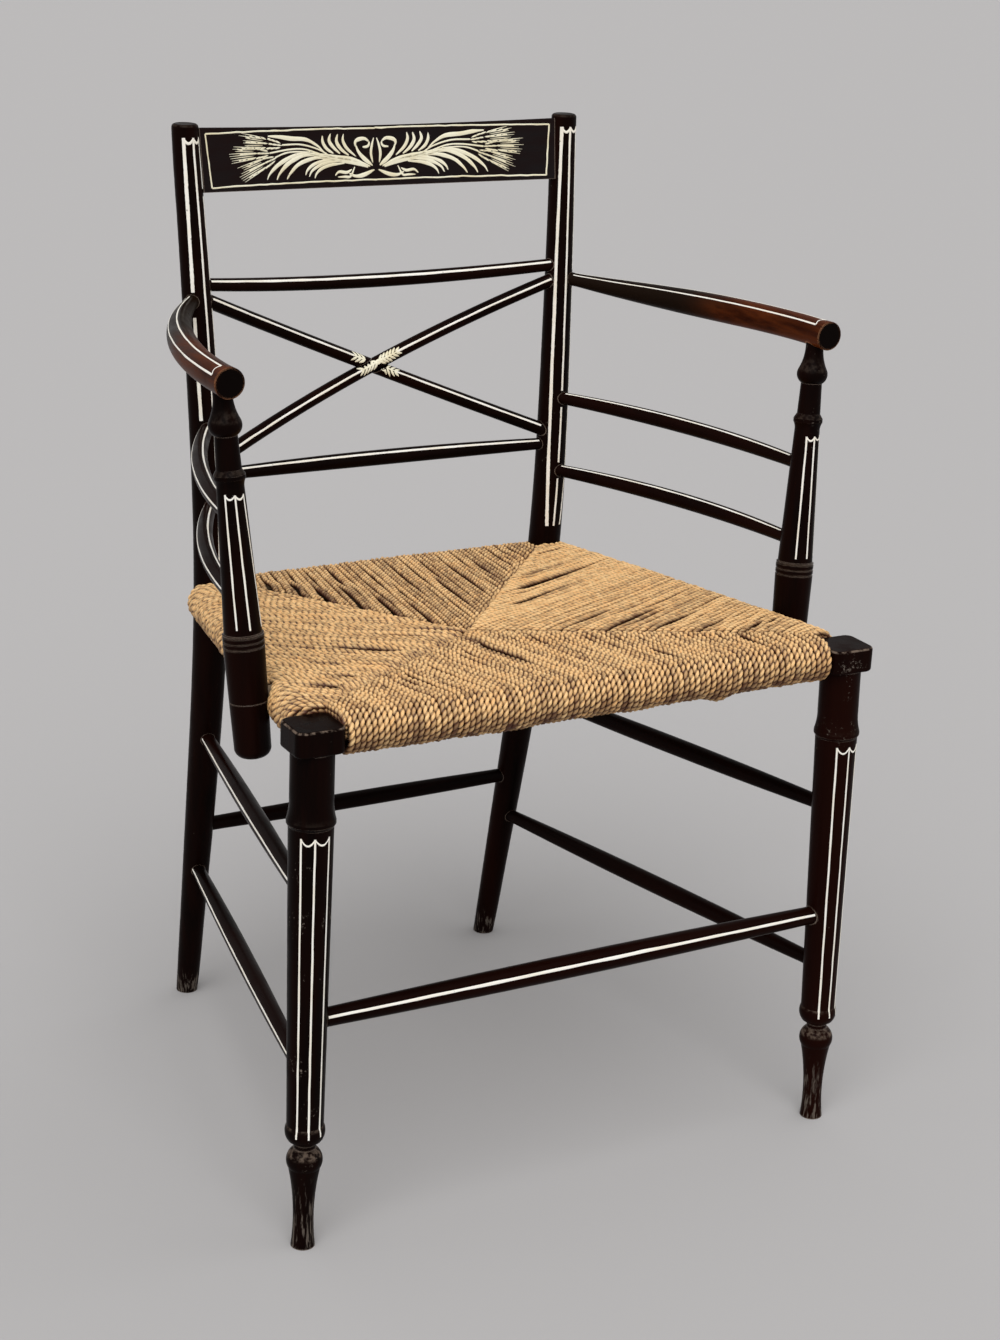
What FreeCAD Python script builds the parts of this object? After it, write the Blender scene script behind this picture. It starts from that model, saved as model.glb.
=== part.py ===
"""Ebonised elbow chair with a rush seat: turned frame, bowed back and arms, four seat rails inside the rush.

Millimetres, +Z up, the front faces -Y, the origin lies on the floor under the middle of the chair.
"""
import FreeCAD
import Part
import Sketcher
import math
import os

from FreeCAD import Placement, Rotation, Vector

LEFT, RIGHT = -1, 1
SIDES = {"left": LEFT, "right": RIGHT}
UP = Vector(0, 0, 1)
ACROSS = Vector(1, 0, 0)

# Driving sizes. Distances behind are measured from the line of the front feet, heights from the floor, and a
# rise or a drop from the height of the seat.
SIZES = {
    "seat_height": 441,
    "post_rise": 385,
    "seat_fall": 15,
    "glue_gap": 0.1,
    "post_fit_gap": 0.5,
    "rush_gap": 0.3,
    "mortise_reach": 30,
    "floor_trim": 2,
    # front legs
    "front_foot_spread": 497,
    "front_leg_top_spread": 487,
    "front_leg_lean": 10.9,
    "foot_radius": 9.8,
    "foot_hollow": 2.8,
    "bulb_low_radius": 12.8,
    "bulb_low_height": 70,
    "bulb_swell": 3.6,
    "neck_radius": 8.7,
    "neck_low_height": 87,
    "neck_high_height": 91,
    "bead_low_radius": 13.6,
    "bead_low_height": 94.5,
    "bead_swell": 1.9,
    "shaft_low_radius": 14.8,
    "shaft_low_height": 108,
    "shaft_high_radius": 17.7,
    "collar_radius": 19.2,
    "collar_drop": 79,
    "collar_width": 2.5,
    "collar_slope": 2.5,
    "collar_flare_height": 18,
    "collar_hollow": 0.8,
    "leg_top_radius": 17.1,
    "leg_tenon_radius": 8,
    "leg_tenon_length": 9,
    # corner blocks
    "block_width": 41,
    "block_depth": 39,
    "block_height": 21,
    "block_corner_radius": 8,
    "block_edge_radius": 2.4,
    # back posts
    "post_foot_spread": 324.2,
    "post_knee_spread": 335.6,
    "post_top_spread": 366.8,
    "post_foot_behind": 449.3,
    "post_knee_behind": 364.9,
    "post_top_behind": 407.7,
    "post_knee_drop": 10,
    "post_knee_softness": 116,
    "post_foot_radius": 10,
    "post_seat_radius": 15.1,
    "post_top_radius": 11.3,
    "post_cap_height": 5,
    "post_cap_radius": 3,
    # seat rails and rush
    "rail_radius": 13,
    "rail_tenon_radius": 6.5,
    "rail_tenon_length": 16,
    "rail_taper_length": 18,
    "rail_depth_in_block": 10,
    "rail_front_outset": 3,
    "rail_stop_in_post": 7.4,
    "rush_cover": 5.6,
    "rush_edge_radius": 16,
    # arm supports
    "support_bottom_spread": 504.1,
    "support_top_spread": 543.1,
    "support_bottom_behind": 99.6,
    "support_top_behind": 123.3,
    "support_bottom_drop": 58,
    "support_flat_radius": 7,
    "support_low_radius": 14.6,
    "support_low_height": 9,
    "support_end_swell": 2.6,
    "support_ring_radius": 16.2,
    "support_ring_height": 88.5,
    "support_groove_pitch": 4.6,
    "support_groove_depth": 0.8,
    "support_groove_width": 1.7,
    "support_mark_height": 46,
    "support_mark_depth": 0.5,
    "support_mark_width": 1.2,
    "support_shaft_low_radius": 14.9,
    "support_shaft_high_radius": 10.7,
    "support_shaft_high_height": 216,
    "support_collar_radius": 12.4,
    "support_collar_low_height": 222,
    "support_collar_high_height": 225,
    "support_collar_hollow": 0.4,
    "support_waist_low_radius": 9.9,
    "support_waist_low_height": 229,
    "support_waist_high_radius": 8.95,
    "support_waist_high_height": 255,
    "support_bulge_radius": 12.2,
    "support_bulge_height": 266.5,
    "support_bulge_swell": 2.2,
    "support_neck_radius": 7.6,
    "support_neck_height": 284,
    "support_neck_hollow": 1,
    "support_stop_in_arm": 1.5,
    # arms
    "arm_end_spread": 543.6,
    "arm_end_behind": 104.7,
    "arm_rise": 238.6,
    "arm_rear_rise": 240.5,
    "arm_rear_pull_out": 46,
    "arm_rear_pull_forward": 48.4,
    "arm_rear_pull_down": 9,
    "arm_end_pull_out": 3.2,
    "arm_end_pull_back": 102.4,
    "arm_rear_radius": 6,
    "arm_full_radius": 11.8,
    "arm_full_share": 0.62,
    "arm_end_radius": 12.3,
    "arm_end_flare_length": 18,
    "arm_end_edge_radius": 1.2,
    "arm_tenon_length": 15,
    "arm_stop_in_post": 4.5,
    # arm spindles
    "upper_spindle_post_rise": 131,
    "upper_spindle_support_rise": 127,
    "lower_spindle_post_rise": 63.5,
    "lower_spindle_support_rise": 61,
    "spindle_end_radius": 5.6,
    "spindle_middle_radius": 6.9,
    "spindle_bow": 13.5,
    "spindle_tenon_length": 13,
    "spindle_stop": 4.5,
    # back
    "top_rail_height": 54,
    "top_rail_thickness": 14,
    "top_rail_below_top": 30.5,
    "top_rail_lean": 3.5,
    "top_rail_bow": 20,
    "top_rail_dip": 1.8,
    "top_rail_edge_radius": 1.2,
    "top_rail_tenon_height": 34,
    "top_rail_tenon_thickness": 7,
    "top_rail_tenon_stop": 5,
    "mid_rail_rise": 250.6,
    "mid_rail_bow": 20,
    "mid_rail_bow_tilt": 24,
    "mid_rail_end_radius": 5.6,
    "mid_rail_middle_radius": 6.3,
    "lower_rail_rise": 87,
    "lower_rail_bow": 8,
    "lower_rail_bow_tilt": 6,
    "lower_rail_end_radius": 5.4,
    "lower_rail_middle_radius": 7,
    "back_rail_tenon_length": 13,
    "back_rail_stop": 4.5,
    "cross_bar_high_rise": 241.4,
    "cross_bar_low_rise": 96,
    "cross_bar_bow": 27,
    "cross_bar_bow_tilt": 6,
    "cross_bar_radius": 6.1,
    "cross_bar_tenon_length": 9,
    "cross_bar_stop": 8.5,
    # stretchers
    "front_stretcher_height": 196,
    "front_stretcher_end_radius": 7.8,
    "front_stretcher_middle_radius": 9.8,
    "rear_stretcher_height": 184.3,
    "rear_stretcher_end_radius": 6.6,
    "rear_stretcher_middle_radius": 7.8,
    "upper_side_front_height": 294,
    "upper_side_rear_height": 280,
    "lower_side_front_height": 147,
    "lower_side_rear_height": 140,
    "side_stretcher_end_radius": 6.2,
    "side_stretcher_middle_radius": 8.2,
    "stretcher_tenon_length": 18,
    "stretcher_stop": 4,
    # screws that hold the arm supports to the side rails
    "screw_radius": 2.2,
    "screw_head_radius": 4.2,
    "screw_head_length": 3.2,
    "screw_head_sink": 1.5,
    "screw_depth_in_support": 12,
    "screw_bore_reach": 20,
}

# How many circles each bent piece is drawn through.
POST_SECTIONS = 11
ARM_SECTIONS = 9
BENT_SECTIONS = 7
FULL_TURN = 360
HALF_TURN = 180
SUPPORT_RINGS = 3
# How much longer and wider a cut is made than the piece it goes through, so that it always comes out.
CUT_PAST = 2


class Cell(float):
    """A size that remembers the sheet cell it stands in."""

    def __new__(cls, value, reference):
        cell = super().__new__(cls, value)
        cell.reference = reference
        return cell


BASE_LEVEL = Cell(0, "")
doc = FreeCAD.newDocument("rush_seat_elbow_chair")


def add_sheet(name):
    return doc.addObject("Spreadsheet::Sheet", name)


def write_cell(sheet, row, alias, value):
    sheet.set(f"A{row}", alias)
    sheet.set(f"B{row}", repr(float(value)))
    sheet.setAlias(f"B{row}", alias)
    return Cell(value, f"{sheet.Name}.{alias}")


driving_sheet = add_sheet("Sizes")
worked_sheet = add_sheet("Worked")
size = {}
for line, (word, number) in enumerate(SIZES.items(), start=1):
    size[word] = write_cell(driving_sheet, line, word, number)
doc.recompute()
worked_count = 0


def worked(alias, value):
    """Keeps a size that follows from the driving sizes in the second sheet."""
    global worked_count
    worked_count += 1
    cell = write_cell(worked_sheet, worked_count, alias, value)
    worked_sheet.recompute()
    return cell


def bind(thing, setting, cell):
    """Ties one setting of an object to a sheet cell."""
    thing.setExpression(setting, cell.reference)


# The frame of the chair: axes of the uprights, worked out from the driving sizes.
block_low = size["seat_height"] - size["block_height"]
rail_level = size["seat_height"] - size["block_height"] / 2
rear_level = rail_level - size["seat_fall"]
rush_half = size["rail_radius"] + size["rush_cover"]


def above_seat(word):
    return size["seat_height"] + size[word]


def below_seat(word):
    return size["seat_height"] - size[word]


overall_height = above_seat("post_rise")
knee_height = below_seat("post_knee_drop")
support_bottom = below_seat("support_bottom_drop")
arm_level = above_seat("arm_rise")
top_rail_level = overall_height - size["top_rail_below_top"]


def bend(foot, knee, top, height):
    """A straight leg and a straight post that meet in a soft knee."""
    above = height - knee_height
    low_slope = (knee - foot) / knee_height
    high_slope = (top - knee) / (overall_height - knee_height)
    eased = (above + math.hypot(above, size["post_knee_softness"])) / 2
    return knee + low_slope * above + (high_slope - low_slope) * eased


def post_behind(height):
    return bend(size["post_foot_behind"], size["post_knee_behind"], size["post_top_behind"], height)


# The chair reaches from the beads of the front legs to the rear of the posts' feet.
bead_height = (size["bead_low_height"] + size["shaft_low_height"]) / 2
bead_radius = (size["bead_low_radius"] + size["shaft_low_radius"]) / 2 + size["bead_swell"]
bead_front = size["front_leg_lean"] * bead_height / block_low - bead_radius
middle_behind = (bead_front + post_behind(0) + size["post_foot_radius"]) / 2


def place(across, behind, height):
    return Vector(across, behind - middle_behind, height)


def front_leg_axis(side, height):
    rise = height / block_low
    foot = size["front_foot_spread"] / 2
    top = size["front_leg_top_spread"] / 2
    return place(side * (foot + (top - foot) * rise), size["front_leg_lean"] * rise, height)


def post_axis(side, height):
    across = bend(size["post_foot_spread"] / 2, size["post_knee_spread"] / 2, size["post_top_spread"] / 2, height)
    return place(side * across, post_behind(height), height)


def post_radius(height):
    if height < knee_height:
        swell = math.sin(math.pi / 2 * height / knee_height)
        return size["post_foot_radius"] + (size["post_seat_radius"] - size["post_foot_radius"]) * swell
    share = (height - knee_height) / (overall_height - size["post_cap_height"] - knee_height)
    return size["post_seat_radius"] + (size["post_top_radius"] - size["post_seat_radius"]) * share


def support_axis(side, height):
    share = (height - support_bottom) / (arm_level - support_bottom)
    low_across = size["support_bottom_spread"] / 2
    top_across = size["support_top_spread"] / 2
    behind = size["support_bottom_behind"]
    behind += (size["support_top_behind"] - size["support_bottom_behind"]) * share
    return place(side * (low_across + (top_across - low_across) * share), behind, height)


def unit(vector):
    return Vector(vector).normalize()


def arm_curve(side):
    """Cubic curve of an arm from the post axis to the middle of its front end."""
    start = post_axis(side, above_seat("arm_rear_rise"))
    end = place(side * size["arm_end_spread"] / 2, size["arm_end_behind"], arm_level)
    pull = Vector(side * size["arm_rear_pull_out"], -size["arm_rear_pull_forward"], -size["arm_rear_pull_down"])
    ease = Vector(side * size["arm_end_pull_out"], size["arm_end_pull_back"], 0)
    curve = Part.BezierCurve()
    curve.setPoles([start, start + pull, end + ease, end])
    return curve


# Bores and flat mortises that each upright, block or arm gets for the ends that enter it.
sockets = {}
flat_sockets = {}


def add_socket(owner, name, tip, outward, radius):
    sockets.setdefault(owner, []).append((name, tip, unit(outward), radius))


def new_body(label, placement=Placement()):
    body = doc.addObject("PartDesign::Body", label)
    body.Label = label
    body.Placement = placement
    return body


def origin_plane(body, role):
    return next(plane for plane in body.Origin.OriginFeatures if plane.Role == role)


def new_sketch(body, name, role):
    sketch = body.newObject("Sketcher::SketchObject", name)
    sketch.AttachmentSupport = (origin_plane(body, role), "")
    sketch.MapMode = "FlatFace"
    return sketch


def set_distance(sketch, kind, geometry, point, cell):
    """Holds a point of a sketch at a distance from the sketch's origin."""
    number = sketch.addConstraint(Sketcher.Constraint(kind, -1, 1, geometry, point, float(cell)))
    bind(sketch, f"Constraints[{number}]", cell)


def circle_section(body, name, radius, offset):
    """A circle on the body's ground plane, moved and tilted to its place along the piece."""
    sketch = new_sketch(body, name, "XY_Plane")
    sketch.addGeometry(Part.Circle(Vector(), UP, float(radius)), False)
    sketch.addConstraint(Sketcher.Constraint("Coincident", 0, 3, -1, 1))
    number = sketch.addConstraint(Sketcher.Constraint("Radius", 0, float(radius)))
    bind(sketch, f"Constraints[{number}]", radius)
    sketch.AttachmentOffset = offset
    return sketch


def loft(body, name, sections):
    feature = body.newObject("PartDesign::AdditiveLoft", name)
    feature.Profile = sections[0]
    feature.Sections = sections[1:]
    feature.Ruled = False
    return feature


def local(body, placement):
    return body.Placement.inverse().multiply(placement)


def along(start, direction):
    return Placement(start, Rotation(UP, unit(direction)))


def add_cylinder(body, name, kind, radius, length, start, direction):
    """A round tenon (Additive) or a bore (Subtractive) that starts at a point of the chair."""
    feature = body.newObject(f"PartDesign::{kind}Cylinder", name)
    bind(feature, "Radius", radius)
    bind(feature, "Height", length)
    feature.Placement = local(body, along(start, direction))
    return feature


def add_box(body, name, kind, sizes, placement):
    """A box with its corner at the placement, which is given in the frame of the chair."""
    feature = body.newObject(f"PartDesign::{kind}Box", name)
    for setting, cell in zip(("Length", "Width", "Height"), sizes):
        bind(feature, setting, cell)
    feature.Placement = local(body, placement)
    return feature


def cut_sockets(body):
    for name, tip, outward, radius in sockets.get(body.Label, []):
        bore = worked(f"{body.Label}_{name}_bore", radius + size["glue_gap"])
        start = tip - outward * size["glue_gap"]
        add_cylinder(body, f"{body.Label}_{name}", "Subtractive", bore, size["mortise_reach"], start, outward)


def arc_between(start, end, swell):
    """An arc from start to end that stands out by swell to the right of the way it runs."""
    chord = end - start
    outward = Vector(chord.y, -chord.x, 0).normalize()
    return Part.ArcOfCircle(start, (start + end) / 2 + outward * swell, end)


def turn_profile(body, steps):
    """Revolves an outline about the body's own axis.

    Each step is a radius, a height and the swell of the arc that leads to it, or None for a straight line.
    The outline starts at the axis in the ground plane and goes back to the axis level with its last step.
    """
    sketch = new_sketch(body, body.Label + "_outline", "XZ_Plane")
    here = Vector()
    for radius, height, swell in steps:
        there = Vector(radius, height, 0)
        if swell:
            piece = arc_between(here, there, swell)
        else:
            piece = Part.LineSegment(here, there)
        sketch.addGeometry(piece, False)
        here = there
    last = len(steps)
    sketch.addGeometry(Part.LineSegment(here, Vector(0, here.y, 0)), False)
    sketch.addGeometry(Part.LineSegment(Vector(0, here.y, 0), Vector()), False)
    starts = []
    ends = []
    for number, (radius, height, swell) in enumerate(steps):
        inward = swell is not None and swell < 0
        starts.append((number, 2 if inward else 1))
        ends.append((number, 1 if inward else 2))
    starts += [(last, 1), (last + 1, 1)]
    ends += [(last, 2), (last + 1, 2)]
    for number in range(1, last + 2):
        sketch.addConstraint(Sketcher.Constraint("Coincident", *ends[number - 1], *starts[number]))
    sketch.addConstraint(Sketcher.Constraint("Coincident", *ends[-1], *starts[0]))
    sketch.addConstraint(Sketcher.Constraint("Coincident", *starts[0], -1, 1))
    sketch.addConstraint(Sketcher.Constraint("PointOnObject", *ends[last], -2))
    sketch.addConstraint(Sketcher.Constraint("Horizontal", last))
    for number, (radius, height, swell) in enumerate(steps):
        set_distance(sketch, "DistanceX", *ends[number], radius)
        if number == 0 and not swell:
            sketch.addConstraint(Sketcher.Constraint("Horizontal", number))
        else:
            set_distance(sketch, "DistanceY", *ends[number], height)
        if swell:
            bow_radius = worked(f"{body.Label}_arc_{number}", sketch.Geometry[number].Radius)
            held = sketch.addConstraint(Sketcher.Constraint("Radius", number, float(bow_radius)))
            bind(sketch, f"Constraints[{held}]", bow_radius)
    turning = body.newObject("PartDesign::Revolution", body.Label + "_turning")
    turning.Profile = sketch
    turning.ReferenceAxis = (sketch, ["V_Axis"])
    turning.Angle = FULL_TURN
    return turning


def negative(alias):
    """The size of a hollow, as an arc that swells inwards."""
    return Cell(-size[alias], size[alias].reference)


def turned_stick(label, start, end, end_radius, middle_radius, tenon_length):
    """A straight stick with plain round ends and a middle that swells."""
    length = worked(label + "_length", (end - start).Length)
    body = new_body(label, along(start, end - start))
    far_tenon = worked(label + "_far_tenon", length - tenon_length)
    swell = worked(label + "_swell", middle_radius - end_radius)
    turn_profile(body, [
        (end_radius, BASE_LEVEL, None),
        (end_radius, tenon_length, None),
        (end_radius, far_tenon, swell),
        (end_radius, length, None),
    ])
    return body


def straight_stick(label, start, end, owners, stops, end_radius, middle_radius, tenon_length):
    """A turned stick between two uprights, whose ends stop short of the uprights' axes."""
    way = unit(end - start)
    first = start + way * stops[0]
    second = end - way * stops[1]
    add_socket(owners[0], label, first, way, end_radius)
    add_socket(owners[1], label, second, way * -1, end_radius)
    turned_stick(label, first, second, end_radius, middle_radius, tenon_length)


def bent_stick(label, start, end, owners, bow_way, names):
    """A round stick bent to an arc, with a straight tenon at each end.

    names gives the sizes: end radius, middle radius, bow, tenon length and the distance that the tips stay from
    the axes of the pieces that they enter.
    """
    end_radius, middle_radius, bow, tenon_length, stop = (size[name] for name in names)
    way = unit(end - start)
    first = start + way * (stop + tenon_length)
    second = end - way * (stop + tenon_length)
    chord = (second - first).Length
    arc_radius = (chord * chord / 4 + bow * bow) / (2 * bow)
    half_angle = math.asin(chord / 2 / arc_radius)
    body = new_body(label, Placement(first, Rotation(bow_way, Vector(), way, "ZXY")))
    sections = []
    for number in range(BENT_SECTIONS):
        share = 2 * number / (BENT_SECTIONS - 1) - 1
        angle = half_angle * share
        spot = Vector(arc_radius * math.cos(angle) - arc_radius + bow, 0, chord / 2 + arc_radius * math.sin(angle))
        swell = middle_radius - (middle_radius - end_radius) * share * share
        radius = worked(f"{label}_radius_{number}", swell)
        offset = Placement(spot, Rotation(Vector(0, 1, 0), -math.degrees(angle)))
        sections.append(circle_section(body, f"{label}_section_{number}", radius, offset))
    loft(body, label + "_bend", sections)
    side_way = unit(bow_way - way * bow_way.dot(way))
    first_way = way * math.cos(half_angle) + side_way * math.sin(half_angle)
    second_way = way * math.cos(half_angle) - side_way * math.sin(half_angle)
    for name, foot, inward, owner in (
        ("first", first, first_way * -1, owners[0]),
        ("second", second, second_way, owners[1]),
    ):
        add_cylinder(body, f"{label}_{name}_tenon", "Additive", end_radius, tenon_length, foot, inward)
        add_socket(owner, label, foot + inward * tenon_length, inward * -1, end_radius)
    return body


# Sticks first, because their ends say where the uprights are bored.
def make_stretchers():
    straight_stick(
        "front_stretcher",
        front_leg_axis(LEFT, size["front_stretcher_height"]),
        front_leg_axis(RIGHT, size["front_stretcher_height"]),
        ("front_leg_left", "front_leg_right"),
        (size["stretcher_stop"], size["stretcher_stop"]),
        size["front_stretcher_end_radius"],
        size["front_stretcher_middle_radius"],
        size["stretcher_tenon_length"],
    )
    straight_stick(
        "rear_stretcher",
        post_axis(LEFT, size["rear_stretcher_height"]),
        post_axis(RIGHT, size["rear_stretcher_height"]),
        ("back_post_left", "back_post_right"),
        (size["stretcher_stop"], size["stretcher_stop"]),
        size["rear_stretcher_end_radius"],
        size["rear_stretcher_middle_radius"],
        size["stretcher_tenon_length"],
    )
    for hand, side in SIDES.items():
        for level in ("upper", "lower"):
            straight_stick(
                f"{level}_side_stretcher_{hand}",
                front_leg_axis(side, size[f"{level}_side_front_height"]),
                post_axis(side, size[f"{level}_side_rear_height"]),
                (f"front_leg_{hand}", f"back_post_{hand}"),
                (size["stretcher_stop"], size["stretcher_stop"]),
                size["side_stretcher_end_radius"],
                size["side_stretcher_middle_radius"],
                size["stretcher_tenon_length"],
            )


def block_centre(side):
    top = front_leg_axis(side, block_low)
    return Vector(top.x, top.y, rail_level)


def rail_ends(hand):
    """Tips of a seat rail: inside the blocks at the front and inside the posts at the back."""
    if hand == "front":
        inner = block_centre(RIGHT).x - size["block_width"] / 2 + size["rail_depth_in_block"]
        level = block_centre(RIGHT)
        return Vector(-inner, level.y, level.z), Vector(inner, level.y, level.z)
    if hand == "back":
        reach = ACROSS * size["rail_stop_in_post"]
        return post_axis(LEFT, rear_level) + reach, post_axis(RIGHT, rear_level) - reach
    side = SIDES[hand]
    rear = post_axis(side, rear_level)
    front = block_centre(side) + ACROSS * side * size["rail_front_outset"]
    way = unit(front - rear)
    block_rear = front.y + size["block_depth"] / 2 - size["rail_depth_in_block"]
    reach = (block_rear - rear.y) / way.y
    return rear + way * size["rail_stop_in_post"], rear + way * reach


RAIL_OWNERS = {
    "front": ("seat_corner_block_left", "seat_corner_block_right"),
    "back": ("back_post_left", "back_post_right"),
    "left": ("back_post_left", "seat_corner_block_left"),
    "right": ("back_post_right", "seat_corner_block_right"),
}


def make_seat_rails():
    """Turned rails with a plain middle, tapered to a round tenon at each end."""
    tenon = size["rail_tenon_length"]
    shoulder = worked("rail_shoulder", tenon + size["rail_taper_length"])
    for hand, owners in RAIL_OWNERS.items():
        label = f"seat_rail_{hand}"
        start, end = rail_ends(hand)
        length = worked(label + "_length", (end - start).Length)
        far_shoulder = worked(label + "_far_shoulder", length - shoulder)
        far_tenon = worked(label + "_far_tenon", length - tenon)
        body = new_body(label, along(start, end - start))
        turn_profile(body, [
            (size["rail_tenon_radius"], BASE_LEVEL, None),
            (size["rail_tenon_radius"], tenon, None),
            (size["rail_radius"], shoulder, None),
            (size["rail_radius"], far_shoulder, None),
            (size["rail_tenon_radius"], far_tenon, None),
            (size["rail_tenon_radius"], length, None),
        ])
        add_socket(owners[0], label, start, end - start, size["rail_tenon_radius"])
        add_socket(owners[1], label, end, start - end, size["rail_tenon_radius"])
        if hand in SIDES:
            bore_for_screw(body, SIDES[hand])


def screw_line(side):
    """Middle of the side rail beside the arm support, and the level way from the rail to the support."""
    start, end = rail_ends("left" if side == LEFT else "right")
    support = support_axis(side, rail_level)
    way = unit(end - start)
    spot = start + way * (support - start).dot(way)
    return spot, unit(support - spot)


def screw_head_place(side):
    """The top of a screw's head, sunk into the inner face of the side rail."""
    spot, outward = screw_line(side)
    return spot - outward * (size["rail_radius"] - size["screw_head_sink"]), outward


def bore_for_screw(rail, side):
    head, outward = screw_head_place(side)
    clear = worked(rail.Label + "_screw_clearance", size["screw_radius"] + size["glue_gap"])
    wide = worked(rail.Label + "_head_clearance", size["screw_head_radius"] + size["glue_gap"])
    reach = worked(rail.Label + "_screw_reach", size["rail_radius"] * CUT_PAST)
    sink = worked(rail.Label + "_head_reach", size["screw_bore_reach"] + size["screw_head_length"])
    add_cylinder(rail, rail.Label + "_screw_hole", "Subtractive", clear, reach, head, outward)
    bottom = head + outward * (size["screw_head_length"] + size["glue_gap"])
    add_cylinder(rail, rail.Label + "_head_hole", "Subtractive", wide, sink, bottom, outward * -1)


def make_arm_spindles():
    for hand, side in SIDES.items():
        for level in ("upper", "lower"):
            start = post_axis(side, above_seat(f"{level}_spindle_post_rise"))
            end = support_axis(side, above_seat(f"{level}_spindle_support_rise"))
            run = end - start
            bent_stick(
                f"{level}_arm_spindle_{hand}", start, end,
                (f"back_post_{hand}", f"arm_support_{hand}"),
                unit(Vector(-run.y, run.x, 0) * side),
                ("spindle_end_radius", "spindle_middle_radius", "spindle_bow", "spindle_tenon_length",
                 "spindle_stop"),
            )


def tilted_back(angle):
    """Backwards and a little down, square to a back that leans by the angle."""
    lean = math.radians(angle)
    return Vector(0, math.cos(lean), -math.sin(lean))


POSTS = ("back_post_left", "back_post_right")


def make_back_rails():
    for level in ("mid", "lower"):
        height = above_seat(f"{level}_rail_rise")
        bent_stick(
            f"{level}_back_rail", post_axis(LEFT, height), post_axis(RIGHT, height), POSTS,
            tilted_back(size[f"{level}_rail_bow_tilt"]),
            (f"{level}_rail_end_radius", f"{level}_rail_middle_radius", f"{level}_rail_bow",
             "back_rail_tenon_length", "back_rail_stop"),
        )


def make_cross_bars():
    """Two bars of one bend, halved where they cross: the rising one lies in front."""
    low = above_seat("cross_bar_low_rise")
    high = above_seat("cross_bar_high_rise")
    runs = {
        "cross_bar_rising": (post_axis(LEFT, low), post_axis(RIGHT, high)),
        "cross_bar_falling": (post_axis(LEFT, high), post_axis(RIGHT, low)),
    }
    bow_way = tilted_back(size["cross_bar_bow_tilt"])
    for label, (start, end) in runs.items():
        bent_stick(
            label, start, end, POSTS, bow_way,
            ("cross_bar_radius", "cross_bar_radius", "cross_bar_bow", "cross_bar_tenon_length", "cross_bar_stop"),
        )
    thick = 2 * size["cross_bar_radius"]
    width = worked("halving_width", thick + 2 * size["glue_gap"])
    depth = worked("halving_depth", thick)
    steepness = (high - low) / (runs["cross_bar_rising"][1] - runs["cross_bar_rising"][0]).Length
    length = worked("halving_length", thick / steepness * CUT_PAST)
    start, end = runs["cross_bar_rising"]
    crossing = start + (end - start) * (start.x / (start.x - end.x)) + bow_way * size["cross_bar_bow"]
    for label, other, away in (
        ("cross_bar_rising", "cross_bar_falling", bow_way),
        ("cross_bar_falling", "cross_bar_rising", bow_way * -1),
    ):
        run = unit(runs[other][1] - runs[other][0])
        turn = Rotation(run, Vector(), away, "ZXY")
        corner = Vector(-length / 2, -width / 2, -size["glue_gap"] / 2)
        add_box(
            doc.getObject(label), label + "_halving", "Subtractive", (length, width, depth),
            Placement(crossing + turn.multVec(corner), turn),
        )


def on_curve(curve, distance):
    """Point and way of a curve at a distance from its start."""
    step = curve.parameterAtDistance(distance, 0)
    return curve.value(step), unit(curve.tangent(step)[0])


def make_arms():
    for hand, side in SIDES.items():
        label = f"arm_{hand}"
        curve = arm_curve(side)
        whole = curve.length()
        begin = size["arm_stop_in_post"] + size["arm_tenon_length"]
        finish = whole - size["arm_end_flare_length"]
        body = new_body(label)
        sections = []
        for number in range(ARM_SECTIONS):
            share = number / (ARM_SECTIONS - 1)
            swell = math.sin(math.pi / 2 * min(1, share / size["arm_full_share"]))
            thickness = size["arm_rear_radius"] + (size["arm_full_radius"] - size["arm_rear_radius"]) * swell
            radius = worked(f"{label}_radius_{number}", thickness)
            spot, way = on_curve(curve, begin + (finish - begin) * share)
            sections.append(circle_section(body, f"{label}_section_{number}", radius, along(spot, way)))
        loft(body, label + "_bend", sections)
        flare = body.newObject("PartDesign::AdditiveCone", label + "_end_flare")
        bind(flare, "Radius1", size["arm_full_radius"])
        bind(flare, "Radius2", size["arm_end_radius"])
        bind(flare, "Height", size["arm_end_flare_length"])
        flare.Placement = along(spot, way)
        end = spot + way * size["arm_end_flare_length"]
        foot, inward = on_curve(curve, begin)
        inward = inward * -1
        length = size["arm_tenon_length"]
        add_cylinder(body, label + "_tenon", "Additive", size["arm_rear_radius"], length, foot, inward)
        add_socket(f"back_post_{hand}", label, foot + inward * length, inward * -1, size["arm_rear_radius"])
        doc.recompute([body])
        round_edges(body, label + "_end_edge", "arm_end_edge_radius", rim_at(end, "arm_end_radius"))
        top = support_axis(side, arm_level - size["support_stop_in_arm"])
        down = support_axis(side, block_low) - top
        add_socket(label, "support", top, down, size["support_neck_radius"])
        cut_sockets(body)


def rim_at(centre, radius_name):
    """Says whether an edge is the full circle of that radius about the centre."""
    def is_rim(edge):
        round_edge = isinstance(edge.Curve, (Part.Circle, Part.BSplineCurve))
        near = (edge.CenterOfMass - centre).Length < size["glue_gap"]
        whole = abs(edge.Length - 2 * math.pi * size[radius_name]) < size["glue_gap"]
        return round_edge and near and whole
    return is_rim


def round_edges(body, name, radius_name, wanted):
    """Rounds the edges of a body that a test picks; the test sees them in the frame of the body."""
    tip = body.Tip
    picked = [f"Edge{number}" for number, edge in enumerate(tip.Shape.Edges, start=1) if wanted(edge)]
    if not picked:
        raise RuntimeError(f"{name} finds no edge")
    feature = body.newObject("PartDesign::Fillet", name)
    feature.Base = (tip, picked)
    bind(feature, "Radius", size[radius_name])
    doc.recompute([body])
    return feature


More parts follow.
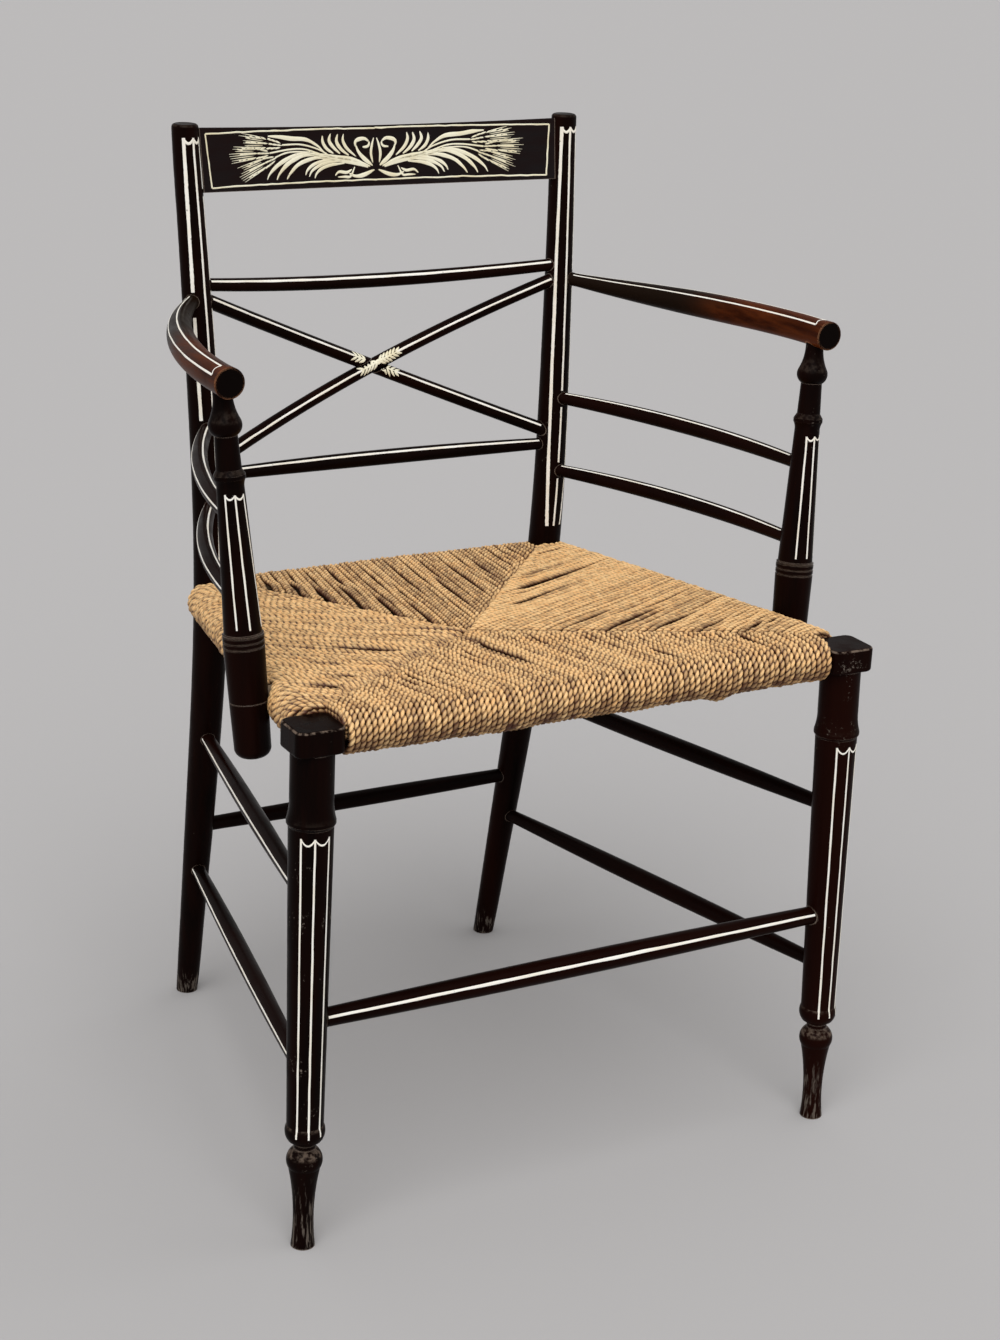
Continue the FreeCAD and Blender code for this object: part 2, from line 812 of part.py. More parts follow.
def make_front_legs():
    for hand, side in SIDES.items():
        label = f"front_leg_{hand}"
        foot = front_leg_axis(side, 0)
        way = unit(front_leg_axis(side, block_low) - foot)
        trim = size["floor_trim"]
        body = new_body(label, along(foot - way * trim, way))

        def level(value, name):
            return worked(f"{label}_{name}", value + trim)

        collar = below_seat("collar_drop")
        collar_high = collar + size["collar_width"]
        turn_profile(body, [
            (size["foot_radius"], BASE_LEVEL, None),
            (size["foot_radius"], level(0, "foot"), None),
            (size["bulb_low_radius"], level(size["bulb_low_height"], "bulb_low"), negative("foot_hollow")),
            (size["neck_radius"], level(size["neck_low_height"], "neck_low"), size["bulb_swell"]),
            (size["neck_radius"], level(size["neck_high_height"], "neck_high"), None),
            (size["bead_low_radius"], level(size["bead_low_height"], "bead_low"), None),
            (size["shaft_low_radius"], level(size["shaft_low_height"], "shaft_low"), size["bead_swell"]),
            (size["shaft_high_radius"], level(collar - size["collar_slope"], "shaft_high"), None),
            (size["collar_radius"], level(collar, "collar_low"), None),
            (size["collar_radius"], level(collar_high, "collar_high"), None),
            (size["leg_top_radius"], level(collar_high + size["collar_flare_height"], "collar_flare"),
             negative("collar_hollow")),
            (size["leg_top_radius"], level(block_low + trim, "top"), None),
        ])
        wide = worked(f"{label}_trim_width", 2 * size["collar_radius"] * CUT_PAST)
        deep = worked(f"{label}_trim_depth", 2 * trim * CUT_PAST)
        half = wide / 2
        for name, height, turn in (
            ("floor_cut", 0, Rotation(ACROSS, HALF_TURN)),
            ("block_cut", block_low, Rotation()),
        ):
            spot = front_leg_axis(side, height)
            corner = turn.multVec(Vector(-half, -half, 0))
            add_box(body, f"{label}_{name}", "Subtractive", (wide, wide, deep), Placement(spot + corner, turn))
        top = front_leg_axis(side, block_low)
        sunk = worked(f"{label}_tenon_height", size["leg_tenon_length"] + trim)
        add_cylinder(body, label + "_tenon", "Additive", size["leg_tenon_radius"], sunk, top - UP * trim, UP)
        add_socket(
            f"seat_corner_block_{hand}", label, top + UP * size["leg_tenon_length"], UP * -1,
            size["leg_tenon_radius"],
        )
        cut_sockets(body)


def centred_rectangle(body, name, length, width):
    sketch = new_sketch(body, name, "XY_Plane")
    corners = [Vector(length * x, width * y, 0) / 2 for x, y in ((-1, -1), (1, -1), (1, 1), (-1, 1))]
    for number in range(4):
        sketch.addGeometry(Part.LineSegment(corners[number], corners[(number + 1) % 4]), False)
    for number in range(4):
        sketch.addConstraint(Sketcher.Constraint("Coincident", number, 2, (number + 1) % 4, 1))
        sketch.addConstraint(Sketcher.Constraint("Horizontal" if number % 2 == 0 else "Vertical", number))
    sketch.addConstraint(Sketcher.Constraint("Symmetric", 0, 1, 2, 1, -1, 1))
    for kind, line_number, cell in (("DistanceX", 0, length), ("DistanceY", 1, width)):
        held = sketch.addConstraint(Sketcher.Constraint(kind, line_number, 1, line_number, 2, float(cell)))
        bind(sketch, f"Constraints[{held}]", cell)
    return sketch


def pad(body, name, sketch, length, midplane=True):
    feature = body.newObject("PartDesign::Pad", name)
    feature.Profile = sketch
    bind(feature, "Length", length)
    if midplane:
        feature.SideType = "Symmetric"
    return feature


def is_upright(edge):
    ends = edge.Vertexes
    if len(ends) != 2 or not isinstance(edge.Curve, Part.Line):
        return False
    run = ends[1].Point - ends[0].Point
    return math.hypot(run.x, run.y) < size["glue_gap"] and abs(run.z) > size["block_edge_radius"]


def make_corner_blocks():
    for hand, side in SIDES.items():
        label = f"seat_corner_block_{hand}"
        body = new_body(label, Placement(block_centre(side), Rotation()))
        sketch = centred_rectangle(body, label + "_outline", size["block_width"], size["block_depth"])
        pad(body, label + "_pad", sketch, size["block_height"])
        doc.recompute([body])
        round_edges(body, label + "_corners", "block_corner_radius", is_upright)
        half = size["block_height"] / 2
        round_edges(
            body, label + "_rims", "block_edge_radius",
            lambda edge: abs(abs(edge.CenterOfMass.z) - half) < size["glue_gap"],
        )
        cut_sockets(body)


def make_arm_supports():
    for hand, side in SIDES.items():
        label = f"arm_support_{hand}"
        foot = support_axis(side, support_bottom)
        top = support_axis(side, arm_level - size["support_stop_in_arm"])
        body = new_body(label, along(foot, top - foot))
        ring = size["support_ring_height"]
        ring_radius = size["support_ring_radius"]

        def groove(name, middle, radius, width, depth):
            """A V-shaped line turned into the support."""
            deep = worked(f"{label}_{name}_radius", radius - depth)
            rim = worked(f"{label}_{name}_rim", radius)
            low = worked(f"{label}_{name}_low", middle - width / 2)
            centre = worked(f"{label}_{name}_middle", middle)
            high = worked(f"{label}_{name}_high", middle + width / 2)
            return [(rim, low, None), (deep, centre, None), (rim, high, None)]

        share = (size["support_mark_height"] - size["support_low_height"]) / (ring - size["support_low_height"])
        mark_radius = size["support_low_radius"] + (ring_radius - size["support_low_radius"]) * share
        steps = [
            (size["support_flat_radius"], BASE_LEVEL, None),
            (size["support_low_radius"], size["support_low_height"], size["support_end_swell"]),
        ]
        steps += groove(
            "mark", size["support_mark_height"], mark_radius, size["support_mark_width"], size["support_mark_depth"],
        )
        for number in range(SUPPORT_RINGS):
            middle = ring + size["support_groove_width"] + number * size["support_groove_pitch"]
            steps += groove(
                f"ring_{number}", middle, ring_radius, size["support_groove_width"], size["support_groove_depth"],
            )
        shaft_low = worked(f"{label}_shaft_low", middle + size["support_groove_width"])
        steps += [
            (size["support_shaft_low_radius"], shaft_low, None),
            (size["support_shaft_high_radius"], size["support_shaft_high_height"], None),
            (size["support_collar_radius"], size["support_collar_low_height"], negative("support_collar_hollow")),
            (size["support_collar_radius"], size["support_collar_high_height"], None),
            (size["support_waist_low_radius"], size["support_waist_low_height"], None),
            (size["support_waist_high_radius"], size["support_waist_high_height"], None),
            (size["support_bulge_radius"], size["support_bulge_height"], size["support_bulge_swell"]),
            (size["support_neck_radius"], size["support_neck_height"], negative("support_neck_hollow")),
            (size["support_neck_radius"], worked(f"{label}_top", (top - foot).Length), None),
        ]
        turn_profile(body, steps)
        lap_over_rail(body, side)
        cut_sockets(body)


def lap_over_rail(support, side):
    """A hollow in the support that fits the side rail, and the hole for its screw."""
    start, end = rail_ends("left" if side == LEFT else "right")
    fit = worked(support.Label + "_lap", size["rail_radius"] + size["glue_gap"])
    length = worked(support.Label + "_lap_length", (end - start).Length)
    add_cylinder(support, support.Label + "_lap_cut", "Subtractive", fit, length, start, end - start)
    spot, outward = screw_line(side)
    reach = support_axis(side, rail_level) - spot
    tip = spot + outward * (reach.Length - size["support_ring_radius"] + size["screw_depth_in_support"])
    add_socket(support.Label, "screw", tip, outward * -1, size["screw_radius"])


def make_screws():
    """One countersunk screw for each arm support, driven from the inner face of the side rail."""
    screw = new_body("arm_support_screw")
    head, outward = screw_head_place(RIGHT)
    spot = screw_line(RIGHT)[0]
    reach = (support_axis(RIGHT, rail_level) - spot).Length
    tip_reach = reach - size["support_ring_radius"] + size["screw_depth_in_support"]
    length = worked("screw_length", tip_reach + (spot - head).Length)
    turn_profile(screw, [
        (size["screw_head_radius"], BASE_LEVEL, None),
        (size["screw_radius"], size["screw_head_length"], None),
        (size["screw_radius"], length, None),
    ])
    doc.recompute([screw])
    copies = []
    for side in SIDES.values():
        head, outward = screw_head_place(side)
        copy = screw.Shape.copy()
        copy.Placement = along(head, outward)
        copies.append(copy)
    group = doc.addObject("Part::Feature", "arm_support_screws")
    group.Label = "arm_support_screws"
    group.Shape = Part.makeCompound(copies)
    return group


def post_lean(height):
    """Angle by which the posts lean back at a height, in degrees."""
    step = size["glue_gap"]
    run = post_axis(RIGHT, height + step) - post_axis(RIGHT, height - step)
    return math.degrees(math.atan2(run.y, run.z))


def make_top_rail():
    """A flat board bent to an arc, dished along its top edge and hollowed at its ends to fit the posts."""
    label = "top_rail"
    lean = post_lean(top_rail_level) + size["top_rail_lean"]
    post = post_axis(RIGHT, top_rail_level)
    frame = Placement(Vector(0, post.y, post.z), Rotation(ACROSS, -lean))
    body = new_body(label, frame)
    bow = size["top_rail_bow"]
    half = worked("top_rail_half_length", post.x)
    arc_radius = (half * half + bow * bow) / (2 * bow)
    sketch = new_sketch(body, label + "_plan", "XY_Plane")
    centre = Vector(0, bow - arc_radius, 0)
    faces = []
    for name, outset in (("front", -1), ("back", 1)):
        radius = worked(f"{label}_{name}_arc", arc_radius + outset * size["top_rail_thickness"] / 2)
        reach = math.asin(half / radius)
        circle = Part.Circle(centre, UP, float(radius))
        sketch.addGeometry(Part.ArcOfCircle(circle, math.pi / 2 - reach, math.pi / 2 + reach), False)
        faces.append((radius, reach))
    for side in (RIGHT, LEFT):
        ends = [centre + Vector(side * half, radius * math.cos(reach), 0) for radius, reach in faces]
        sketch.addGeometry(Part.LineSegment(*ends), False)
    for arc in (0, 1):
        sketch.addConstraint(Sketcher.Constraint("Coincident", arc, 1, 2, arc + 1))
        sketch.addConstraint(Sketcher.Constraint("Coincident", arc, 2, 3, arc + 1))
        held = sketch.addConstraint(Sketcher.Constraint("Radius", arc, float(faces[arc][0])))
        bind(sketch, f"Constraints[{held}]", faces[arc][0])
    sketch.addConstraint(Sketcher.Constraint("Coincident", 0, 3, 1, 3))
    sketch.addConstraint(Sketcher.Constraint("PointOnObject", 0, 3, -2))
    drop = worked("top_rail_arc_centre", arc_radius - bow)
    held = sketch.addConstraint(Sketcher.Constraint("DistanceY", 0, 3, -1, 1, float(drop)))
    bind(sketch, f"Constraints[{held}]", drop)
    sketch.addConstraint(Sketcher.Constraint("Vertical", 2))
    sketch.addConstraint(Sketcher.Constraint("Vertical", 3))
    set_distance(sketch, "DistanceX", 2, 1, half)
    held = sketch.addConstraint(Sketcher.Constraint("DistanceX", 3, 1, -1, 1, float(half)))
    bind(sketch, f"Constraints[{held}]", half)
    pad(body, label + "_board", sketch, size["top_rail_height"])
    dish_top_edge(body, half)
    top = size["top_rail_height"] / 2 - size["top_rail_dip"] - size["glue_gap"]
    round_edges(
        body, label + "_top_edges", "top_rail_edge_radius",
        lambda edge: edge.CenterOfMass.z > top and edge.Length > half,
    )
    fit_to_posts(body)


def dish_top_edge(body, half):
    """Cuts the top edge to a shallow hollow that is deepest in the middle."""
    high = size["top_rail_height"] / 2
    dip = size["top_rail_dip"]
    dip_radius = worked("top_rail_dip_arc", (half * half + dip * dip) / (2 * dip))
    sketch = new_sketch(body, "top_rail_dip_outline", "XZ_Plane")
    left, right = Vector(-half, high, 0), Vector(half, high, 0)
    sketch.addGeometry(Part.ArcOfCircle(left, Vector(0, high - dip, 0), right), False)
    sketch.addGeometry(Part.LineSegment(right, left), False)
    sketch.addConstraint(Sketcher.Constraint("Coincident", 0, 2, 1, 1))
    sketch.addConstraint(Sketcher.Constraint("Coincident", 0, 1, 1, 2))
    sketch.addConstraint(Sketcher.Constraint("Horizontal", 1))
    held = sketch.addConstraint(Sketcher.Constraint("Radius", 0, float(dip_radius)))
    bind(sketch, f"Constraints[{held}]", dip_radius)
    set_distance(sketch, "DistanceX", 1, 1, half)
    set_distance(sketch, "DistanceY", 1, 1, worked("top_rail_half_height", high))
    held = sketch.addConstraint(Sketcher.Constraint("DistanceX", 1, 2, -1, 1, float(half)))
    bind(sketch, f"Constraints[{held}]", half)
    doc.recompute([body])
    before = body.Shape.Volume
    pocket = body.newObject("PartDesign::Pocket", "top_rail_dip")
    pocket.Profile = sketch
    pocket.Type = "ThroughAll"
    pocket.SideType = "Symmetric"
    doc.recompute([body])
    if body.Shape.Volume >= before:
        raise RuntimeError("the dip in the top rail cuts nothing")


def fit_to_posts(body):
    """Hollows the ends of the top rail to the posts, then adds a flat tenon at each end."""
    label = body.Label
    reach = size["top_rail_height"]
    for hand, side in SIDES.items():
        low = post_axis(side, top_rail_level - reach)
        high = post_axis(side, top_rail_level + reach)
        cope = body.newObject("PartDesign::SubtractiveCone", f"{label}_{hand}_hollow")
        wide = worked(f"{label}_{hand}_low_radius", post_radius(top_rail_level - reach) + size["post_fit_gap"])
        thin = worked(f"{label}_{hand}_high_radius", post_radius(top_rail_level + reach) + size["post_fit_gap"])
        bind(cope, "Radius1", wide)
        bind(cope, "Radius2", thin)
        bind(cope, "Height", worked(f"{label}_{hand}_hollow_height", (high - low).Length))
        cope.Placement = local(body, along(low, high - low))
    half = post_axis(RIGHT, top_rail_level).x
    slope = math.degrees(2 * math.atan(size["top_rail_bow"] / half))
    length = worked("top_rail_tenon_length", post_radius(top_rail_level) + size["top_rail_thickness"] / 2)
    gap = size["glue_gap"]
    for hand, side in SIDES.items():
        turn = body.Placement.Rotation.multiply(Rotation(UP, -side * slope))
        if side == LEFT:
            turn = turn.multiply(Rotation(UP, HALF_TURN))
        tip = post_axis(side, top_rail_level) - turn.multVec(ACROSS) * size["top_rail_tenon_stop"]
        for owner, kind, slack in ((label, "Additive", 0), (f"back_post_{hand}", "Subtractive", gap)):
            thick = worked(f"{owner}_{hand}_tongue_thickness", size["top_rail_tenon_thickness"] + 2 * slack)
            tall = worked(f"{owner}_{hand}_tongue_height", size["top_rail_tenon_height"] + 2 * slack)
            long = worked(f"{owner}_{hand}_tongue_length", length + slack)
            corner = turn.multVec(Vector(-length, -thick / 2, -tall / 2))
            box = (f"{owner}_{hand}_tongue", kind, (long, thick, tall), Placement(tip + corner, turn))
            if owner == label:
                add_box(body, *box)
            else:
                flat_sockets.setdefault(owner, []).append(box)


def make_back_posts():
    """Leg and post in one bent piece, through level circles, with a rounded top."""
    cap_low = overall_height - size["post_cap_height"]
    for hand, side in SIDES.items():
        label = f"back_post_{hand}"
        body = new_body(label)
        sections = []
        for number in range(POST_SECTIONS):
            height = cap_low * number / (POST_SECTIONS - 1)
            radius = worked(f"{label}_radius_{number}", post_radius(height))
            offset = Placement(post_axis(side, height), Rotation())
            sections.append(circle_section(body, f"{label}_section_{number}", radius, offset))
        loft(body, label + "_bend", sections)
        foot = post_axis(side, cap_low)
        add_cylinder(body, label + "_cap", "Additive", size["post_top_radius"], size["post_cap_height"], foot, UP)
        doc.recompute([body])
        top = foot + UP * size["post_cap_height"]
        round_edges(body, label + "_cap_rim", "post_cap_radius", rim_at(top, "post_top_radius"))
        for box in flat_sockets.get(label, []):
            add_box(body, *box)
        cut_sockets(body)


def make_rush_seat():
    """The wound rush as one rounded slab, with room for the rails, blocks, posts and arm supports."""
    label = "rush_seat"
    thick = worked("rush_thickness", 2 * rush_half)
    front_rail = rail_ends("front")[0]
    back_rail = rail_ends("back")[0]
    fall = math.atan2(front_rail.z - back_rail.z, back_rail.y - front_rail.y)
    body = new_body(label, Placement(Vector(0, front_rail.y, front_rail.z), Rotation(ACROSS, -math.degrees(fall))))
    to_slab = body.Placement.inverse()
    front = to_slab.multVec(front_rail).y - rush_half
    back = to_slab.multVec(back_rail).y + rush_half
    start, end = (to_slab.multVec(tip) for tip in rail_ends("right"))
    way = unit(end - start)
    edge = start + Vector(-way.y, way.x, 0) * rush_half
    front_half = worked("rush_front_half_width", edge.x + way.x / way.y * (front - edge.y))
    back_half = worked("rush_back_half_width", edge.x + way.x / way.y * (back - edge.y))
    sketch = new_sketch(body, label + "_outline", "XY_Plane")
    corners = [Vector(-front_half, front), Vector(front_half, front), Vector(back_half, back), Vector(-back_half, back)]
    for number in range(4):
        sketch.addGeometry(Part.LineSegment(corners[number], corners[(number + 1) % 4]), False)
    for number in range(4):
        sketch.addConstraint(Sketcher.Constraint("Coincident", number, 2, (number + 1) % 4, 1))
    for number in (0, 2):
        sketch.addConstraint(Sketcher.Constraint("Symmetric", number, 1, number, 2, -2))
    set_distance(sketch, "DistanceX", 1, 1, front_half)
    set_distance(sketch, "DistanceX", 1, 2, back_half)
    front_cell = worked("rush_front", -front)
    held = sketch.addConstraint(Sketcher.Constraint("DistanceY", 0, 1, -1, 1, float(front_cell)))
    bind(sketch, f"Constraints[{held}]", front_cell)
    set_distance(sketch, "DistanceY", 2, 1, worked("rush_back", back))
    pad(body, label + "_slab", sketch, thick)
    doc.recompute([body])
    round_edges(
        body, label + "_rolls", "rush_edge_radius",
        lambda line: abs(line.CenterOfMass.z) > size["rush_cover"],
    )
    make_room_in_rush(body)


def make_room_in_rush(body):
    label = body.Label
    gap = size["rush_gap"]
    tunnel = worked("rush_tunnel_radius", size["rail_radius"] + gap)
    past = size["block_width"]
    for hand in RAIL_OWNERS:
        start, end = rail_ends(hand)
        way = unit(end - start)
        length = worked(f"rush_{hand}_tunnel_length", (end - start).Length + 2 * past)
        add_cylinder(body, f"{label}_{hand}_tunnel", "Subtractive", tunnel, length, start - way * past, way)
    wide = worked("rush_block_width", size["block_width"] * CUT_PAST)
    deep = worked("rush_block_depth", size["block_depth"] * CUT_PAST)
    tall = worked("rush_notch_height", 2 * rush_half * CUT_PAST)
    ends = post_axis(RIGHT, rear_level - rush_half) + post_axis(RIGHT, rear_level + rush_half)
    post_sag = (ends / 2 - post_axis(RIGHT, rear_level)).Length
    post_room = worked("rush_post_radius", size["post_seat_radius"] + post_sag + gap)
    screw_room = worked("rush_screw_radius", size["screw_radius"] + gap)
    support_room = worked("rush_support_radius", size["support_ring_radius"] + gap)
    for hand, side in SIDES.items():
        block = block_centre(side)
        inner = block.x - side * (size["block_width"] / 2 + gap)
        corner = Vector(inner if side == RIGHT else inner - wide, block.y + size["block_depth"] / 2 + gap - deep,
                        rail_level - tall / 2)
        add_box(body, f"{label}_{hand}_block_room", "Subtractive", (wide, deep, tall), Placement(corner, Rotation()))
        post = post_axis(side, rear_level)
        start, end = rail_ends(hand)
        turn = Rotation(unit(end - start) * -1, Vector(), UP, "ZXY")
        shift = turn.multVec(Vector(0, -wide / 2, -tall / 2))
        add_box(body, f"{label}_{hand}_rear_corner", "Subtractive", (wide, wide, tall),
                Placement(post + ACROSS * side * wide / 2 + shift, turn))
        low = post_axis(side, rear_level - rush_half)
        run = post_axis(side, rear_level + rush_half) - low
        low = low - unit(run) * (tall / 2 - rush_half)
        add_cylinder(body, f"{label}_{hand}_post_room", "Subtractive", post_room, tall, low, run)
        low = support_axis(side, rail_level - tall / 2)
        run = support_axis(side, rail_level + tall / 2) - low
        add_cylinder(body, f"{label}_{hand}_support_room", "Subtractive", support_room, tall, low, run)
        spot, outward = screw_line(side)
        add_cylinder(body, f"{label}_{hand}_screw_room", "Subtractive", screw_room, tall, spot, outward)


def check_document():
    for thing in doc.Objects:
        if "Invalid" in thing.State or "Error" in thing.State:
            raise RuntimeError(f"{thing.Name} failed: {thing.State}")


def main():
    make_stretchers()
    make_seat_rails()
    make_arm_spindles()
    make_back_rails()
    make_cross_bars()
    make_arms()
    make_front_legs()
    make_corner_blocks()
    make_arm_supports()
    make_top_rail()
    make_back_posts()
    make_rush_seat()
    screws = make_screws()
    doc.recompute()
    check_document()
    bodies = [thing for thing in doc.Objects if thing.TypeId == "PartDesign::Body"]
    pieces = [body for body in bodies if body.Label != "arm_support_screw"] + [screws]
    for piece in pieces:
        if piece.Shape.isNull() or not piece.Shape.isValid():
            raise RuntimeError(f"{piece.Label} has no valid shape")
    os.makedirs("parts", exist_ok=True)
    for piece in pieces:
        piece.Shape.exportStep(f"parts/{piece.Label}.step")
        print(piece.Label, len(piece.Shape.Solids), round(piece.Shape.Volume))


main()
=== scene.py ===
"""Looks of the ebonised elbow chair: wound rush with painted shade, painted lines and sprays, worn wood with painted
highlights on its rims, floor, light and camera.
"""
import math
from functools import cache

import bpy
import numpy as np
from mathutils import Matrix, Vector
from mathutils.bvhtree import BVHTree


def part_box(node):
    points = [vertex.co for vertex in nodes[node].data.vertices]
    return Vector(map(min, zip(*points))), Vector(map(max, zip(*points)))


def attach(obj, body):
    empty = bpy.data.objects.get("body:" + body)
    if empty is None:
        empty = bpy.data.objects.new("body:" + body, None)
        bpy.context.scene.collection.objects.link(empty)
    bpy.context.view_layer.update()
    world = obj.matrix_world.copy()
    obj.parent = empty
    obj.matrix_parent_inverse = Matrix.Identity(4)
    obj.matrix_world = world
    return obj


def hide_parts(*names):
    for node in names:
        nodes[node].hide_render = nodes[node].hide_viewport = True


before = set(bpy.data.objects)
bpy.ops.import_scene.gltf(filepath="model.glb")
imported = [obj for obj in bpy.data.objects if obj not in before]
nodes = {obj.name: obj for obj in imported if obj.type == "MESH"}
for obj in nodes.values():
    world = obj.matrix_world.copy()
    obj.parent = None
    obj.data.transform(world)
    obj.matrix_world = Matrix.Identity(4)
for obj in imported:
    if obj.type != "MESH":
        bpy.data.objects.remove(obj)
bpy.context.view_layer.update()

MM = 0.001
chance = np.random.default_rng(1815)
scene = bpy.context.scene
HANDS = (("left", -1), ("right", 1))
RIGHT, BACK, UP = np.eye(3)
FRONT = -BACK


def corners(node):
    """Lowest and highest corner of a CAD piece's box."""
    return np.array(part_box(node))


def points_of(node):
    mesh = nodes[node].data
    spots = np.empty(len(mesh.vertices) * 3, np.float32)
    mesh.vertices.foreach_get("co", spots)
    return spots.reshape(-1, 3).astype(float)


def ends_of(node, axis):
    """Middles of the two end faces of a stick that runs mainly along one axis of the room."""
    spots = points_of(node)
    reach = spots[:, axis]
    near = 0.5 * MM
    ends = [spots[reach < reach.min() + near], spots[reach > reach.max() - near]]
    return [(end.min(0) + end.max(0)) / 2 for end in ends]


@cache
def skin(node):
    """Search tree of a CAD piece's surface."""
    mesh = nodes[node].data
    return BVHTree.FromPolygons([v.co for v in mesh.vertices], [tuple(p.vertices) for p in mesh.polygons])


FINGER_REACH = 0.08


def touch(node, spot, facing):
    """Where a finger that comes from the facing side first meets the piece: place and outward direction."""
    facing = Vector(facing).normalized()
    place, normal, _, _ = skin(node).ray_cast(Vector(spot) + facing * FINGER_REACH, -facing, 2 * FINGER_REACH)
    if place is None:
        return None
    return np.array(place), np.array(normal if normal.dot(facing) > 0 else -normal)


def core(node, spot, ways):
    """Moves a spot near a stick to the middle of its section, along two directions."""
    spot = np.array(spot, float)
    for way in list(ways) * 2:
        way = np.array(way, float)
        sides = [touch(node, spot, way), touch(node, spot, -way)]
        if all(sides):
            spot = (sides[0][0] + sides[1][0]) / 2
    return spot


def unit(vector):
    return np.asarray(vector, float) / np.linalg.norm(vector)


def between(start, end, angle):
    """The direction so many degrees from one direction towards another."""
    turn = math.radians(angle)
    return start * math.cos(turn) + end * math.sin(turn)


def add_piece(name, spots, faces, material):
    """A new mesh piece that rides on the chair."""
    mesh = bpy.data.meshes.new(name)
    mesh.from_pydata([tuple(s) for s in spots], [], [tuple(int(i) for i in f) for f in faces])
    mesh.materials.append(material)
    mesh.polygons.foreach_set("use_smooth", [True] * len(mesh.polygons))
    mesh.update()
    piece = bpy.data.objects.new(name, mesh)
    scene.collection.objects.link(piece)
    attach(piece, "root")
    return piece


# Finishes.

def add_node(tree, kind, values=None, **settings):
    made = tree.nodes.new(kind)
    for setting, value in settings.items():
        setattr(made, setting, value)
    for socket, value in (values or {}).items():
        made.inputs[socket].default_value = value
    return made


def join(start, end):
    start.id_data.links.new(start, end)


def feed(socket, value):
    """Sets a socket to a plain value, or joins another socket to it."""
    if isinstance(value, bpy.types.NodeSocket):
        join(value, socket)
    else:
        socket.default_value = value


def new_effect(name, inputs, outputs):
    """An empty node group, with its sockets. An input has the value that it starts with, or none for a place."""
    tree = bpy.data.node_groups.new(name, "ShaderNodeTree")
    for word, value in inputs.items():
        kind = "NodeSocketVector" if value is None else "NodeSocketFloat"
        socket = tree.interface.new_socket(word, in_out="INPUT", socket_type=kind)
        if value is not None:
            socket.default_value = value
    for word in outputs:
        tree.interface.new_socket(word, in_out="OUTPUT", socket_type="NodeSocketFloat")
    return tree, tree.nodes.new("NodeGroupInput").outputs, tree.nodes.new("NodeGroupOutput").inputs


def mix_colour(share, first, second):
    """Mixes two colours, each a plain colour or a socket, by the share that a socket gives."""
    made = add_node(share.id_data, "ShaderNodeMix", data_type="RGBA")
    for number, value in ((0, share), (6, first), (7, second)):
        feed(made.inputs[number], value)
    return made.outputs[2]


def ramp(socket, low, high):
    """A smooth step of a value, from 0 at one level to 1 at the other."""
    made = add_node(socket.id_data, "ShaderNodeMapRange", {"From Min": low, "From Max": high},
                    interpolation_type="SMOOTHSTEP")
    join(socket, made.inputs["Value"])
    return made.outputs["Result"]


def calculate(tree, operation, first, second):
    made = add_node(tree, "ShaderNodeMath", operation=operation)
    feed(made.inputs[0], first)
    feed(made.inputs[1], second)
    return made.outputs[0]


def times(first, second):
    return calculate(first.id_data, "MULTIPLY", first, second)


def plus(first, second):
    return calculate(first.id_data, "ADD", first, second)


def noise(place, **values):
    """Noise over the given coordinates."""
    made = add_node(place.id_data, "ShaderNodeTexNoise", values)
    join(place, made.inputs["Vector"])
    return made.outputs["Fac"]


def one_axis(vector, axis):
    """One of the three measures of a place or direction."""
    made = add_node(vector.id_data, "ShaderNodeSeparateXYZ")
    join(vector, made.inputs["Vector"])
    return made.outputs[axis]


def own_place(tree):
    """Coordinates on the piece itself."""
    return add_node(tree, "ShaderNodeTexCoord").outputs["Object"]


def stretched(place, stretch):
    made = add_node(place.id_data, "ShaderNodeMapping", {"Scale": stretch})
    join(place, made.inputs["Vector"])
    return made.outputs["Vector"]


def make_grain_effect():
    """Streaks of wood that follow the stretched coordinates it is given."""
    tree, given, result = new_effect("wood_grain", {"Vector": None, "Fineness": 1.0}, ("Streaks", "Patches"))
    fine = noise(given["Vector"], Detail=6.0, Roughness=0.62)
    join(given["Fineness"], fine.node.inputs["Scale"])
    broad = noise(given["Vector"], Detail=3.0, Scale=0.16, Distortion=0.6)
    join(ramp(fine, 0.3, 0.72), result["Streaks"])
    join(ramp(broad, 0.38, 0.66), result["Patches"])
    return tree


def make_rubbed_and_highlit_edge_effect():
    """Where hands and feet rub an edge, and where rims are painted pale as a highlight: the rounded normal leaves the
    true one there.
    """
    tree, given, result = new_effect("rubbed_and_highlit_edges", {"Reach": 1.2 * MM, "Raggedness": 0.5}, ("Rubbed_and_highlit",))
    surface = add_node(tree, "ShaderNodeNewGeometry")
    rounded = add_node(tree, "ShaderNodeBevel", samples=4)
    join(given["Reach"], rounded.inputs["Radius"])
    turn = add_node(tree, "ShaderNodeVectorMath", operation="DOT_PRODUCT")
    join(surface.outputs["Normal"], turn.inputs[0])
    join(rounded.outputs["Normal"], turn.inputs[1])
    edge = calculate(tree, "SUBTRACT", 1.0, turn.outputs["Value"])
    ragged = times(noise(own_place(tree), Scale=190.0, Detail=4.0), given["Raggedness"])
    worn_and_highlit = calculate(tree, "SUBTRACT", times(edge, 5.0), ragged)
    join(ramp(worn_and_highlit, 0.02, 0.45), result["Rubbed_and_highlit"])
    return tree


def make_scuff_effect():
    """Small pale nicks and scratches, thickest where the amount is high."""
    tree, given, result = new_effect("scuffs", {"Vector": None, "Amount": 0.5}, ("Scuffed", "Dusty"))
    nicks = noise(given["Vector"], Scale=300.0, Detail=6.0, Roughness=0.75)
    areas = noise(given["Vector"], Scale=24.0, Detail=3.0)
    spread = times(ramp(areas, 0.42, 0.72), given["Amount"])
    level = plus(nicks, times(spread, 0.24))
    join(ramp(level, 0.79, 0.87), result["Scuffed"])
    join(spread, result["Dusty"])
    return tree


